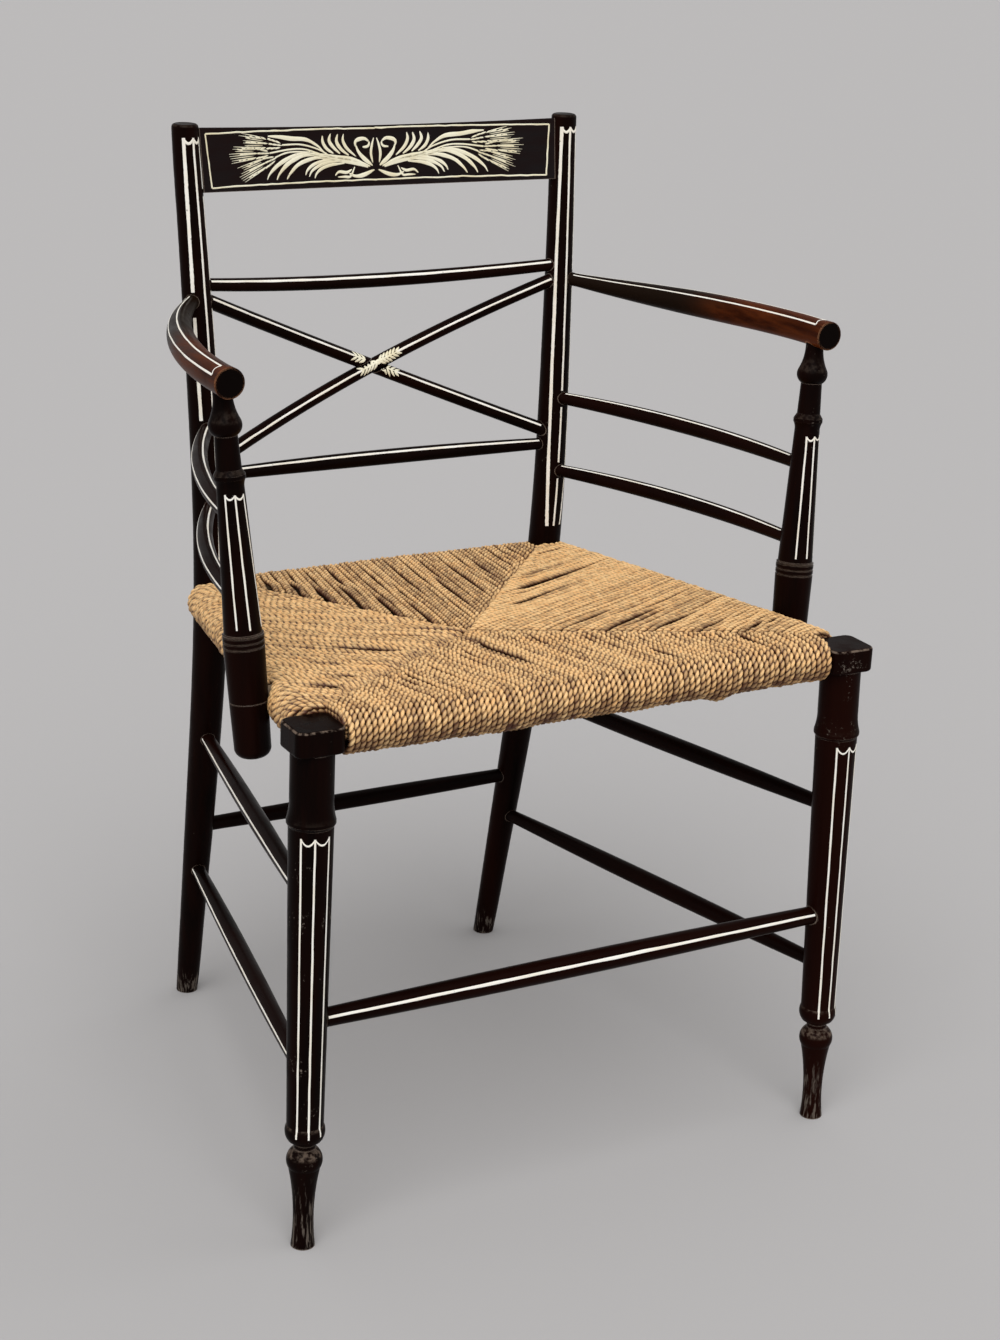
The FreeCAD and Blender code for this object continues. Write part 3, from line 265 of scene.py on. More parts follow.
GRAIN = make_grain_effect()
RUBBED_AND_HIGHLIT = make_rubbed_and_highlit_edge_effect()
SCUFFS = make_scuff_effect()


def place_effect(tree, effect, place=None, **values):
    """Puts an effect in a material, at the given coordinates, and gives back its outputs."""
    made = add_node(tree, "ShaderNodeGroup", values, node_tree=effect)
    if place is not None:
        join(place, made.inputs["Vector"])
    return made.outputs


def new_finish(name, constants=None):
    """A material with one shader, its tree and the shader's sockets."""
    material = bpy.data.materials.new(name)
    material.use_nodes = True
    tree = material.node_tree
    tree.nodes.clear()
    shader = add_node(tree, "ShaderNodeBsdfPrincipled", constants)
    out = add_node(tree, "ShaderNodeOutputMaterial")
    join(shader.outputs["BSDF"], out.inputs["Surface"])
    return material, tree, shader.inputs


def add_bump(shader, height, strength, distance):
    bump = add_node(height.id_data, "ShaderNodeBump", {"Strength": strength, "Distance": distance})
    join(height, bump.inputs["Height"])
    join(bump.outputs["Normal"], shader["Normal"])


BLACK = (0.0028, 0.0013, 0.0010, 1)
RAIL_BLACK = (0.0115, 0.0090, 0.0094, 1)
BROWN_BLACK = (0.0125, 0.0024, 0.0011, 1)
# Pale grey of the edges and rims: partly rubbed wear, partly a painted highlight.
RUBBED_AND_HIGHLIGHT_GREY = (0.17, 0.125, 0.095, 1)
SCUFF_PALE = (0.17, 0.14, 0.115, 1)
ARM_RED, ARM_BROWN, ARM_REAR = (0.026, 0.0046, 0.0011, 1), (0.104, 0.0225, 0.0044, 1), (0.0095, 0.0048, 0.0026, 1)
ARM_RIM, ARM_NICK = (0.44, 0.20, 0.10, 1), (0.23, 0.15, 0.10, 1)
BIRCH_DARK, BIRCH_LIGHT = (0.30, 0.19, 0.10, 1), (0.42, 0.29, 0.17, 1)
IRON, RUST = (0.20, 0.19, 0.18, 1), (0.16, 0.07, 0.035, 1)
CHIPPED = (0.05, 0.032, 0.022, 1)
# How wood grain is stretched, per metre.
ALONG_HEIGHT, ALONG_WIDTH, ALONG_DEPTH = (90, 90, 9), (9, 90, 90), (90, 9, 90)
# How rush fibres are stretched: round a cord and along it.
FIBRES = (900, 60, 1)
ARM_FACE = corners("arm_left")[0][1]


def make_black_finish(name, stretch, scuff, brown=0.55, rubbed_and_highlit_reach=1.2 * MM, worn_foot=0.0, dusty_highlit_rims=0.0,
                      black=BLACK):
    """Ebonised wood: thin black stain over brown wood, rubbed at the edges and lightly scuffed; the pale edges and
    rims are partly wear and dust, partly painted highlight.

    worn_foot: how far up from the floor shoes and brooms have scratched it.
    dusty_highlit_rims: how pale the rims that face up are made, partly as dust and partly as a painted highlight from
    the light above.
    """
    material, tree, shader = new_finish(name, {"Coat Roughness": 0.12, "Specular IOR Level": 0.025})
    place = own_place(tree)
    grain_place = stretched(place, stretch)
    grain = place_effect(tree, GRAIN, grain_place)
    rubbed_and_highlit = place_effect(tree, RUBBED_AND_HIGHLIT, Reach=rubbed_and_highlit_reach, Raggedness=0.55)
    scuffs = place_effect(tree, SCUFFS, place, Amount=scuff)
    stain = mix_colour(times(grain["Patches"], brown), black, BROWN_BLACK)
    stain = mix_colour(times(grain["Streaks"], 0.35), stain, BROWN_BLACK)
    # Pale edges: partly rubbed wear, partly painted highlight.
    worn_and_highlit = mix_colour(rubbed_and_highlit["Rubbed_and_highlit"], stain, RUBBED_AND_HIGHLIGHT_GREY)
    # Rims that face up get paler: partly dust, partly a painted highlight where light from above falls.
    if dusty_highlit_rims:
        tilt = one_axis(add_node(tree, "ShaderNodeNewGeometry").outputs["Normal"], "Z")
        rim = times(ramp(tilt, 0.22, 0.5), ramp(tilt, 0.98, 0.84))
        speckle = noise(place, Scale=230.0, Detail=5.0, Roughness=0.6)
        ragged = times(ramp(speckle, 0.4, 0.62), dusty_highlit_rims)
        worn_and_highlit = mix_colour(times(rim, ragged), worn_and_highlit, RUBBED_AND_HIGHLIGHT_GREY)
    if worn_foot:
        scratches = place_effect(tree, GRAIN, grain_place, Fineness=5.0)
        low = ramp(one_axis(place, "Z"), worn_foot, 0.0)
        scratched = ramp(times(scratches["Streaks"], low), 0.42, 0.8)
        worn_and_highlit = mix_colour(times(scratched, 0.6), worn_and_highlit, SCUFF_PALE)
    join(mix_colour(scuffs["Scuffed"], worn_and_highlit, SCUFF_PALE), shader["Base Color"])
    dull = plus(times(grain["Streaks"], 0.12), times(scuffs["Dusty"], 0.2))
    join(plus(dull, 0.24), shader["Roughness"])
    join(times(rubbed_and_highlit["Rubbed_and_highlit"], 0.8), shader["Coat Weight"])
    add_bump(shader, grain["Streaks"], 0.12, 0.3 * MM)
    return material


def make_arm_finish():
    """Arms: the black is rubbed away by hands, so that red-brown wood shows towards the front."""
    material, tree, shader = new_finish("worn_arm_wood", {"Specular IOR Level": 0.03})
    place = own_place(tree)
    grain = place_effect(tree, GRAIN, stretched(place, ALONG_DEPTH))
    scuffs = place_effect(tree, SCUFFS, place, Amount=0.7)
    rubbed_and_highlit = place_effect(tree, RUBBED_AND_HIGHLIT, Reach=2.2 * MM, Raggedness=0.4)
    behind = one_axis(place, "Y")
    patchy = times(ramp(behind, 0.10, -0.05), plus(grain["Patches"], 0.6))
    wood = mix_colour(grain["Streaks"], ARM_RED, ARM_BROWN)
    colour = mix_colour(ramp(patchy, 0.12, 0.75), ARM_REAR, wood)
    colour = mix_colour(ramp(behind, ARM_FACE + 1.2 * MM, ARM_FACE + 0.5 * MM), colour, BLACK)
    # Pale arm rims: partly rubbed wear, partly painted highlight.
    colour = mix_colour(rubbed_and_highlit["Rubbed_and_highlit"], colour, ARM_RIM)
    join(mix_colour(scuffs["Scuffed"], colour, ARM_NICK), shader["Base Color"])
    join(plus(times(grain["Streaks"], 0.14), 0.27), shader["Roughness"])
    add_bump(shader, grain["Streaks"], 0.12, 0.3 * MM)
    return material


def make_bare_wood_finish():
    """Seat rails inside the rush: plain birch, never stained."""
    material, tree, shader = new_finish("bare_rail_wood")
    grain = place_effect(tree, GRAIN, stretched(own_place(tree), (40, 40, 90)))
    join(mix_colour(grain["Streaks"], BIRCH_DARK, BIRCH_LIGHT), shader["Base Color"])
    join(plus(times(grain["Patches"], 0.15), 0.55), shader["Roughness"])
    add_bump(shader, grain["Streaks"], 0.3, 0.4 * MM)
    return material


def make_iron_finish():
    """Hidden screws: dull iron with a little rust."""
    material, tree, shader = new_finish("screw_iron", {"Metallic": 1.0})
    scuffs = place_effect(tree, SCUFFS, own_place(tree), Amount=1.0)
    join(mix_colour(scuffs["Dusty"], IRON, RUST), shader["Base Color"])
    join(plus(scuffs["Dusty"], 0.4), shader["Roughness"])
    return material


def make_cream_finish(name, fresh, aged):
    """Hand-painted cream, yellowed in places and chipped to the black below."""
    material, tree, shader = new_finish(name)
    place = own_place(tree)
    tint = noise(place, Scale=45.0, Detail=3.0)
    chips = noise(place, Scale=310.0, Detail=5.0, Roughness=0.65)
    cream = mix_colour(ramp(tint, 0.35, 0.68), fresh, aged)
    join(mix_colour(ramp(chips, 0.66, 0.72), cream, CHIPPED), shader["Base Color"])
    join(plus(times(tint, 0.2), 0.32), shader["Roughness"])
    return material


def make_rush_finish(name, light, dark, shadow):
    """Twisted rush: golden straw with streaky fibres; the tone of each cord, with the shade painted on it, is kept in
    its mesh and mixes the straw towards the shadow colour.
    """
    material, tree, shader = new_finish(name, {"Specular IOR Level": 0.45})
    tone = add_node(tree, "ShaderNodeAttribute", attribute_name="tone")
    lay = add_node(tree, "ShaderNodeAttribute", attribute_name="lay")
    fibre = noise(stretched(lay.outputs["Vector"], FIBRES), Scale=1.0, Detail=4.0, Roughness=0.6)
    blotch = noise(own_place(tree), Scale=30.0, Detail=3.0)
    straw = mix_colour(ramp(fibre, 0.3, 0.7), dark, light)
    straw = mix_colour(times(ramp(blotch, 0.45, 0.75), 0.35), straw, dark)
    join(mix_colour(tone.outputs["Fac"], straw, shadow), shader["Base Color"])
    join(plus(times(fibre, 0.2), 0.45), shader["Roughness"])
    add_bump(shader, fibre, 0.35, 0.25 * MM)
    return material


black_upright = make_black_finish("ebonised_uprights", ALONG_HEIGHT, 0.75, 0.6, 1.1 * MM, 0.06, 0.12)
black_leg = make_black_finish("ebonised_front_legs", ALONG_HEIGHT, 1.0, 0.8, 2.2 * MM, 0.13, 0.6)
black_block = make_black_finish("ebonised_seat_blocks", ALONG_HEIGHT, 1.0, 0.35, 2.0 * MM, dusty_highlit_rims=0.9)
black_rail = make_black_finish("ebonised_top_rail", ALONG_WIDTH, 0.6, 0.2, black=RAIL_BLACK)
black_cross = make_black_finish("ebonised_back_bars", ALONG_WIDTH, 0.45)
black_side = make_black_finish("ebonised_side_sticks", ALONG_DEPTH, 0.6)
arm_wood = make_arm_finish()
bare_wood = make_bare_wood_finish()
iron = make_iron_finish()
line_cream = make_cream_finish("cream_lines", (0.97, 0.94, 0.87, 1), (0.92, 0.86, 0.74, 1))
spray_cream = make_cream_finish("cream_sprays", (0.94, 0.90, 0.70, 1), (0.85, 0.77, 0.53, 1))
rush_straw = make_rush_finish("rush", (1.0, 0.725, 0.370, 1), (0.90, 0.465, 0.160, 1), (0.075, 0.020, 0.006, 1))
# The packing's near-black colours are painted shade between the cords.
rush_packing_shade = make_rush_finish("shaded_rush_packing", (0.10, 0.055, 0.025, 1), (0.05, 0.024, 0.011, 1), (0.03, 0.012, 0.006, 1))

# The first name that a piece's own name starts with gives its finish.
FINISH_BY_NAME = (
    ("arm_support_screws", iron), ("arm_support", black_upright), ("arm_left", arm_wood), ("arm_right", arm_wood),
    ("seat_rail", bare_wood), ("front_leg", black_leg), ("seat_corner", black_block), ("top_rail", black_rail),
    ("back_post", black_upright), ("upper_arm_spindle", black_side), ("lower_arm_spindle", black_side),
    ("upper_side", black_side), ("lower_side", black_side), ("", black_cross),
)
for name, thing in nodes.items():
    finish = next(f for start, f in FINISH_BY_NAME if name.startswith(start))
    thing.data.materials.clear()
    thing.data.materials.append(finish)


# The rush seat: two-ply cords wound over the rails, in four fields that meet at one spot.

CORD_LOBE = 2.0 * MM
CORD_LOBE_OUT = 0.7 * MM
CORD_HALF = 2.55 * MM
CORD_TWIST = 11 * MM
RING_STEP = 1.45 * MM
UNDER_STEP = 4.5 * MM
SECTION = np.radians(np.arange(0, 360, 45))
SECTION_REACH = CORD_LOBE_OUT * np.abs(np.cos(SECTION)) + np.sqrt(
    CORD_LOBE ** 2 - (CORD_LOBE_OUT * np.sin(SECTION)) ** 2)
FRONT_CORDS, BACK_CORDS = 44, 30
WEAVE_CENTRE = np.array([-35, -72]) * MM
SIDE_SPLIT = 35 * MM
# How unevenly the cords lie: sideways, in height, and over the rail.
CORD_LEAN, CORD_LIFT, CORD_SLACK = 0.65 * MM, 0.3 * MM, 0.25 * MM
# How far an end is tucked in past the seam, and over what share of its length a gap opens and closes.
TUCK = 3.5 * MM
GAP_END = 0.12
# How much painted shade darkens a cord between its plies, on its hidden side, below the rail and at its end in the
# seam; beside a gap the darkening is partly painted shade and partly dirt.
CREASE_SHADE, HIDDEN_SIDE_SHADE, UNDER_RAIL_SHADE, SEAM_END_SHADE, GAP_SHADE_AND_DIRT = 0.72, 1.45, 0.58, 0.7, 0.45
# How far cords differ in tone, and each ply along its length.
CORD_TONES, FLECK = (-0.18, 0.24), 0.3

front_rail, back_rail = corners("seat_rail_front"), corners("seat_rail_back")
RAIL_RADIUS = (front_rail[1, 2] - front_rail[0, 2]) / 2
# Middle of each rail: how far behind, and how high.
FRONT_LINE, BACK_LINE = front_rail.mean(0)[1:], back_rail.mean(0)[1:]
SEAT_FALL = (BACK_LINE[1] - FRONT_LINE[1]) / (BACK_LINE[0] - FRONT_LINE[0])
ROLL = RAIL_RADIUS + CORD_HALF


def seat_level(behind):
    return FRONT_LINE[1] + SEAT_FALL * (behind - FRONT_LINE[0])


def smooth_path(marks, per_span=8):
    """A soft curve through the marks, as many points per span (Catmull-Rom)."""
    marks = np.asarray(marks, float)
    ends = np.vstack([2 * marks[0] - marks[1], marks, 2 * marks[-1] - marks[-2]])
    share = (np.arange(per_span) / per_span)[:, None]
    runs = []
    for a, b, c, d in zip(ends, ends[1:], ends[2:], ends[3:]):
        runs.append(0.5 * (2 * b + (c - a) * share + (2 * a - 5 * b + 4 * c - d) * share ** 2
                           + (3 * b - a - 3 * c + d) * share ** 3))
    return np.vstack(runs + [marks[-1:]])


def distances(path):
    """How far along a path each of its points is."""
    return np.concatenate([[0], np.cumsum(np.linalg.norm(np.diff(path, axis=0), axis=1))])


def even_steps(path, fine_until, fine, coarse):
    """Points along a path: close together up to a distance, then further apart."""
    lengths = distances(path)
    fine_until = min(fine_until, lengths[-1])
    near = np.linspace(0, fine_until, max(2, int(fine_until / fine)))
    far = np.linspace(fine_until, lengths[-1], max(2, int((lengths[-1] - fine_until) / coarse)))[1:]
    stations = np.concatenate([near, far])
    return np.stack([np.interp(stations, lengths, path[:, i]) for i in range(3)], 1), stations


def cord_mesh(path, stations, along_rail, start_turn):
    """Rings of a two-lobed cord that twists along its path."""
    tangent = np.gradient(path, axis=0)
    tangent /= np.linalg.norm(tangent, axis=1)[:, None]
    side = along_rail - (tangent @ along_rail)[:, None] * tangent
    side /= np.linalg.norm(side, axis=1)[:, None]
    up = np.cross(tangent, side)
    steps = np.minimum(np.diff(stations) * 2 * math.pi / CORD_TWIST, 0.85)
    turn = start_turn + np.concatenate([[0], np.cumsum(steps)])
    angle = turn[:, None] + SECTION[None, :]
    out = np.cos(angle)[..., None] * side[:, None] + np.sin(angle)[..., None] * up[:, None]
    open_side = np.sin(angle) * np.sign(up[len(up) // 4, 2])
    return path[:, None] + out * SECTION_REACH[None, :, None], open_side


def cord_faces(rings, first):
    """Quads between the rings of one cord, with closed ends."""
    count = len(SECTION)
    ring, spoke = np.meshgrid(np.arange(rings - 1), np.arange(count), indexing="ij")
    after = (spoke + 1) % count
    low, high = first + ring * count, first + (ring + 1) * count
    quads = np.stack([low + spoke, low + after, high + after, high + spoke], -1).reshape(-1, 4).tolist()
    return quads + [list(range(first + count - 1, first - 1, -1)),
                    list(range(first + (rings - 1) * count, first + rings * count))]


class RushField:
    """All the cords wound on one rail."""

    def __init__(self, name):
        self.name = name
        self.spots, self.faces, self.tone, self.lay = [], [], [], []
        self.count = 0

    def add_cord(self, path, stations, along_rail, tone):
        rings, open_side = cord_mesh(path, stations, along_rail, chance.uniform(0, 2 * math.pi))
        self.faces += cord_faces(len(rings), self.count)
        self.count += rings.shape[0] * rings.shape[1]
        self.spots.append(rings.reshape(-1, 3))
        # Painted shade in the crease between the two plies.
        crease_shade = np.where(np.abs(np.cos(SECTION)) < 0.1, CREASE_SHADE, 0.0)
        knots = np.arange(0, stations[-1] + CORD_TWIST, CORD_TWIST / 2)
        flecks = [np.interp(stations, knots, chance.uniform(-FLECK, FLECK, len(knots))) for _ in range(2)]
        flecks = np.where(np.cos(SECTION)[None] > 0, flecks[0][:, None], flecks[1][:, None])
        # Painted shade on the sides and underside of a cord, which face away from the open side.
        hidden_side_shade = HIDDEN_SIDE_SHADE * np.clip(1 - open_side, 0, 1) ** 1.9
        self.tone.append(np.clip(tone[:, None] + flecks + crease_shade[None, :] + hidden_side_shade, 0, 1).ravel())
        around = np.arange(len(SECTION)) / len(SECTION) * 0.02
        lay = np.zeros(rings.shape)
        lay[..., 0] = around[None] + chance.uniform(0, 5)
        lay[..., 1] = stations[:, None] + chance.uniform(0, 5)
        self.lay.append(lay.reshape(-1, 3))

    def finish(self):
        piece = add_piece(self.name, np.vstack(self.spots), self.faces, rush_straw)
        tone = piece.data.attributes.new("tone", "FLOAT", "POINT")
        tone.data.foreach_set("value", np.concatenate(self.tone).astype(np.float32))
        lay = piece.data.attributes.new("lay", "FLOAT_VECTOR", "POINT")
        lay.data.foreach_set("vector", np.vstack(self.lay).astype(np.float32).ravel())
        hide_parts("rush_seat")


def on_line(line_start, line_end, share):
    return line_start + (line_end - line_start) * share


def opening(down, start, end):
    """How far a gap is open, by the share of the way from rail to seam."""
    return np.clip((down - start) / GAP_END, 0, 1) * np.clip((end - down) / GAP_END, 0, 1)


def wind_half(field, rail_corner, rail_split, seam_corner, count, lies_over, ease, gaps, push=None, droops=(),
              shade=0.0):
    """Cords from one corner of a rail to its middle. Each goes over the rail and ends in the seam.

    gaps: share of the half, where it starts and ends between rail and seam, and width in mm.
    push: spot on the rail that a post or support holds clear, and half the clear width.
    droops: share of the half, spread and depth in mm of each place where the cords hang loose below the rail.
    shade: how much darker this whole half is made.
    """
    run = rail_split - rail_corner
    along_rail = unit(run)
    outward = unit(np.cross(along_rail, UP))
    if outward[:2] @ (rail_corner[:2] - WEAVE_CENTRE) < 0:
        outward = -outward
    square_up = np.cross(outward, along_rail)
    square_up *= np.sign(square_up[2])
    for number in range(count):
        share = (number + 0.5) / count
        rail_spot = on_line(rail_corner, rail_split, share ** ease)
        seam_spot = on_line(seam_corner, WEAVE_CENTRE, share)
        lean = chance.normal(0, CORD_LEAN, 3)
        lift = chance.normal(0, CORD_LIFT, 3)
        slack = chance.normal(0, CORD_SLACK)

        def shifted(down):
            """Sideways move of the cord, by its share of the way from rail to seam."""
            move = 0.0
            for gap_share, start, end, width in gaps:
                side = share - gap_share
                aside = math.copysign(width * MM / 2, side) * math.exp(-abs(side) * count / 2.5)
                move += aside * opening(down, start, end)
            return move

        def roll_shift():
            if push is None:
                return 0.0
            away = (rail_spot - push[0]) @ along_rail
            return math.copysign(push[1], away) * math.exp(-abs(away) / (2.0 * push[1]))

        inner = rail_spot[:2] - outward[:2] * 2 * MM
        length = np.linalg.norm(seam_spot - inner)
        way = (seam_spot - inner) / length
        marks = []

        def mark(down, height, extra=0.0, side=0.0):
            spot = inner + way * (length * down + extra) + along_rail[:2] * (side + shifted(down))
            marks.append(np.array([*spot, seat_level(spot[1]) + height]))

        top = ROLL + slack
        if lies_over:
            mark(1, 0.15 * top, TUCK)
            mark(1, 0.72 * top, TUCK * 0.7)
            mark(1, top + 0.3 * MM, -2.5 * MM)
            mark(1, top + 1.0 * MM, min(-9 * MM, -0.15 * length))
        else:
            depth = np.clip((length - 26 * MM) / (36 * MM), 0.04, 1)
            mark(1, (1 - 0.95 * depth) * top, TUCK)
            mark(1, (1 - 0.55 * depth) * top, 0)
            mark(1, (1 - 0.20 * depth) * top, -min(5 * MM, 0.3 * length))
            mark(1, (1 - 0.03 * depth) * top, max(-14 * MM, -0.6 * length))
        if length > 45 * MM:
            for index, down in enumerate((0.72, 0.5, 0.28)):
                mark(down, top - 0.5 * MM + lift[index], side=lean[index])
        moved = roll_shift()
        droop = sum(depth * MM * math.exp(-((share - spot) / spread) ** 2) for spot, spread, depth in droops)
        for angle in np.radians(np.arange(0, 181, 30)):
            spot = rail_spot + square_up * (math.cos(angle) * top) + outward * (math.sin(angle) * top)
            spot = spot - square_up * droop * np.clip((angle - 1.4) / 1.2, 0, 1)
            marks.append(spot + along_rail * moved * np.clip((math.sin(angle) - 0.55) / 0.3, 0, 1))
        fine_marks = len(marks)
        for down in (0.3, 0.65, 0.95):
            mark(down, -top - droop * (1 - down) + (0.5 + 3 * down ** 3) * MM)
        mark(1, -0.3 * top, TUCK)
        path = smooth_path(marks)
        fine_length = distances(path)[8 * (fine_marks - 1) - 1]
        steps, stations = even_steps(path, fine_length, RING_STEP, UNDER_STEP)
        # Painted shade on each cord: darker below the rail and where it dives into the seam, less so for short cords.
        # Each cord also differs in tone at random.
        under_rail_shade_part = np.clip((seat_level(steps[:, 1]) + 6 * MM - steps[:, 2]) / (15 * MM), 0, 1)
        seam_end_shade_part = np.exp(-stations / (4 * MM))
        short = np.clip((length - 15 * MM) / (50 * MM), 0.2, 1)
        tone = shade + chance.uniform(*CORD_TONES) + UNDER_RAIL_SHADE * under_rail_shade_part + SEAM_END_SHADE * short * seam_end_shade_part
        # Beside a gap the cords are darkened, partly as painted shade in the gap and partly as dirt.
        down = (steps[:, :2] - inner) @ way / length
        for gap_share, start, end, width in gaps:
            beside = min(1, width / 6) * math.exp(-((share - gap_share) * count) ** 2)
            tone += GAP_SHADE_AND_DIRT * beside * opening(down, start, end)
        field.add_cord(steps, stations, along_rail, tone)


def wind_seat():
    """The four fields, from the corners that blocks and posts leave free."""
    fields = {name: RushField("rush_" + name) for name in ("front", "back", "left", "right")}
    snug = CORD_HALF * 0.8
    for hand, side in HANDS:
        low, high = corners("seat_corner_block_" + hand)
        block_side = high[0] if side < 0 else low[0]
        inside, behind_block = block_side - side * snug, high[1]
        rail_ends = ends_of("seat_rail_" + hand, 1)
        rail_run = rail_ends[1] - rail_ends[0]

        def on_side_rail(behind):
            return rail_ends[0] + rail_run * (behind - rail_ends[0][1]) / rail_run[1]

        post = core("back_post_" + hand, on_side_rail(BACK_LINE[0]), (RIGHT, BACK))
        post_radius = abs(touch("back_post_" + hand, post, side * RIGHT)[0][0] - post[0])
        front_corner = np.array([inside + side * snug, behind_block])
        back_corner = np.array([post[0] - side * 0.75 * post_radius, post[1] - 0.75 * post_radius])
        front_start = np.array([inside, *FRONT_LINE])
        front_middle = np.array([WEAVE_CENTRE[0] * 0.2, *FRONT_LINE])
        back_start = np.array([post[0] - side * (post_radius + snug), *BACK_LINE])
        back_middle = np.array([0, *BACK_LINE])
        support = core("arm_support_" + hand, (side * 0.2545, -0.12, 0.425), (RIGHT, BACK))
        push = (on_side_rail(support[1]), 12 * MM)
        wind_half(fields["front"], front_start, front_middle, front_corner, FRONT_CORDS, True, 1.0, FRONT_GAPS[hand],
                  droops=FRONT_DROOPS[hand])
        wind_half(fields["back"], back_start, back_middle, back_corner, BACK_CORDS, False, 1.0, BACK_GAPS[hand],
                  shade=0.1)
        wind_half(fields[hand], on_side_rail(behind_block + snug), on_side_rail(SIDE_SPLIT), front_corner,
                  FRONT_CORDS, False, 0.9, SIDE_FRONT_GAPS[hand], push)
        wind_half(fields[hand], on_side_rail(post[1] - post_radius - snug), on_side_rail(SIDE_SPLIT), back_corner,
                  BACK_CORDS, True, 1.0, SIDE_BACK_GAPS[hand])
        wind_corner(fields["front"], on_side_rail(behind_block), np.array([block_side, behind_block]), side)
    for field in fields.values():
        field.finish()


def wind_corner(field, rail_spot, corner, side):
    """Cords that go round a seat block, from the side rail to the front rail, and close the slot beside it."""
    for level in range(4):
        height = ROLL - (1.0 + 3.6 * level) * MM
        aside = CORD_HALF * 0.55
        beside, after = corner[0] - side * aside, corner[1] + aside
        turns = ((rail_spot[0] + side * 9 * MM, after), (rail_spot[0], after), (corner[0] + side * 5 * MM, after),
                 (corner[0] - side * aside * 0.4, corner[1] + aside * 0.4), (beside, corner[1] - 6 * MM),
                 (beside, FRONT_LINE[0] - 2 * MM), (beside, FRONT_LINE[0] - 10 * MM))
        marks = np.array([(x, y, seat_level(y) + height) for x, y in turns])
        marks[[0, -1], 2] -= np.array([7, 6]) * MM
        path = smooth_path(marks)
        # No part of it is coarse, so the last point comes twice and one is left out.
        steps, stations = (part[:-1] for part in even_steps(path, math.inf, RING_STEP, UNDER_STEP))
        # Cords lower in the slot beside the block are painted darker, as shade.
        field.add_cord(steps, stations, np.array([side * 0.6, -0.8, 0.0]), np.full(len(steps), 0.12 + 0.12 * level))


def pack_seat():
    """Rush packing between the upper and the lower cords, coloured near black as painted shade in the gaps between the
    cords.
    """
    across, deep = 26, 22
    left, right = (ends_of("seat_rail_" + hand, 1) for hand in ("left", "right"))
    spots = []
    for height in (6 * MM, -6 * MM):
        for behind in np.linspace(FRONT_LINE[0] + RAIL_RADIUS, BACK_LINE[0] - RAIL_RADIUS, deep):
            edges = [np.interp(behind, (ends[0][1], ends[1][1]), (ends[0][0], ends[1][0])) for ends in (left, right)]
            for x in np.linspace(edges[0] + RAIL_RADIUS, edges[1] - RAIL_RADIUS, across):
                spots.append((x, behind, seat_level(behind) + height + chance.normal(0, 0.5 * MM)))
    faces = []
    layer = across * deep
    for row in range(deep - 1):
        for a in range(row * across, row * across + across - 1):
            faces.append((a, a + 1, a + across + 1, a + across))
            faces.append((layer + a + across, layer + a + across + 1, layer + a + 1, layer + a))
    rim = (list(range(across)) + list(range(2 * across - 1, layer, across))
           + list(range(layer - 2, layer - across - 1, -1)) + list(range(layer - 2 * across, 0, -across)))
    for a, b in zip(rim, rim[1:] + rim[:1]):
        faces.append((b, a, layer + a, layer + b))
    piece = add_piece("shaded_rush_packing", spots, faces, rush_packing_shade)
    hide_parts("rush_seat")


# Painted lines and sprays.

PAINT_PROUD = 0.2 * MM
PAINT_SUNK = 0.06 * MM
BRUSH_STEP = 3 * MM
# Across a stroke: share of its width from the middle, and height over the wood.
BRUSH_SECTION = ((-0.5, -PAINT_SUNK), (-0.28, PAINT_PROUD), (0.28, PAINT_PROUD), (0.5, -PAINT_SUNK))


class PaintedPiece:
    """Strokes of cream paint laid on one piece of wood."""

    def __init__(self, name, node, covered_by=()):
        self.name, self.node, self.covered_by = name, node, covered_by
        self.spots, self.faces = [], []

    def bare(self, spot, facing):
        """Whether no other piece lies over this spot."""
        return not any(skin(other).ray_cast(Vector(spot) + Vector(facing) * 0.3 * MM, Vector(facing), 40 * MM)[0]
                       for other in self.covered_by)

    def stroke(self, guides, facings, widths, wobble=0.12 * MM):
        """A band of paint along the guides, seen from the facing side; it follows the wood below it."""
        guides = np.asarray(guides, float)
        facings = np.broadcast_to(facings, guides.shape)
        widths = np.broadcast_to(widths, len(guides)) * (1 + 0.12 * wander(len(guides)))
        sway = wobble * wander(len(guides))
        tangents = np.gradient(guides, axis=0)
        rows = []
        for guide, tangent, facing, width, move in zip(guides, tangents, facings, widths, sway):
            across = unit(np.cross(facing, tangent))
            row = []
            for share, height in BRUSH_SECTION:
                met = touch(self.node, guide + across * (share * width + move), facing)
                if met and self.bare(met[0], facing):
                    row.append(met[0] + met[1] * height)
            rows.append(row if len(row) == len(BRUSH_SECTION) else None)
        wide = len(BRUSH_SECTION)
        for row, before in zip(rows, [None] + rows):
            if row is None:
                continue
            first = len(self.spots)
            self.spots += row
            if before is not None:
                self.faces += [(s - wide, s - wide + 1, s + 1, s) for s in range(first, first + wide - 1)]

    def finish(self, paint=None):
        add_piece(self.name, self.spots, self.faces, paint or line_cream)


def wander(count):
    """Slow random swing between about -1 and 1, as of a hand that draws a line."""
    marks = chance.normal(0, 0.6, count // 5 + 3)
    return np.interp(np.linspace(0, len(marks) - 1, count), np.arange(len(marks)), marks)


CROSS_BARS = ("cross_bar_rising", "cross_bar_falling")
POSTS = ("back_post_left", "back_post_right")
ARM_LINE_LEANS = {"left": (-62, -13), "right": (-43, 12)}


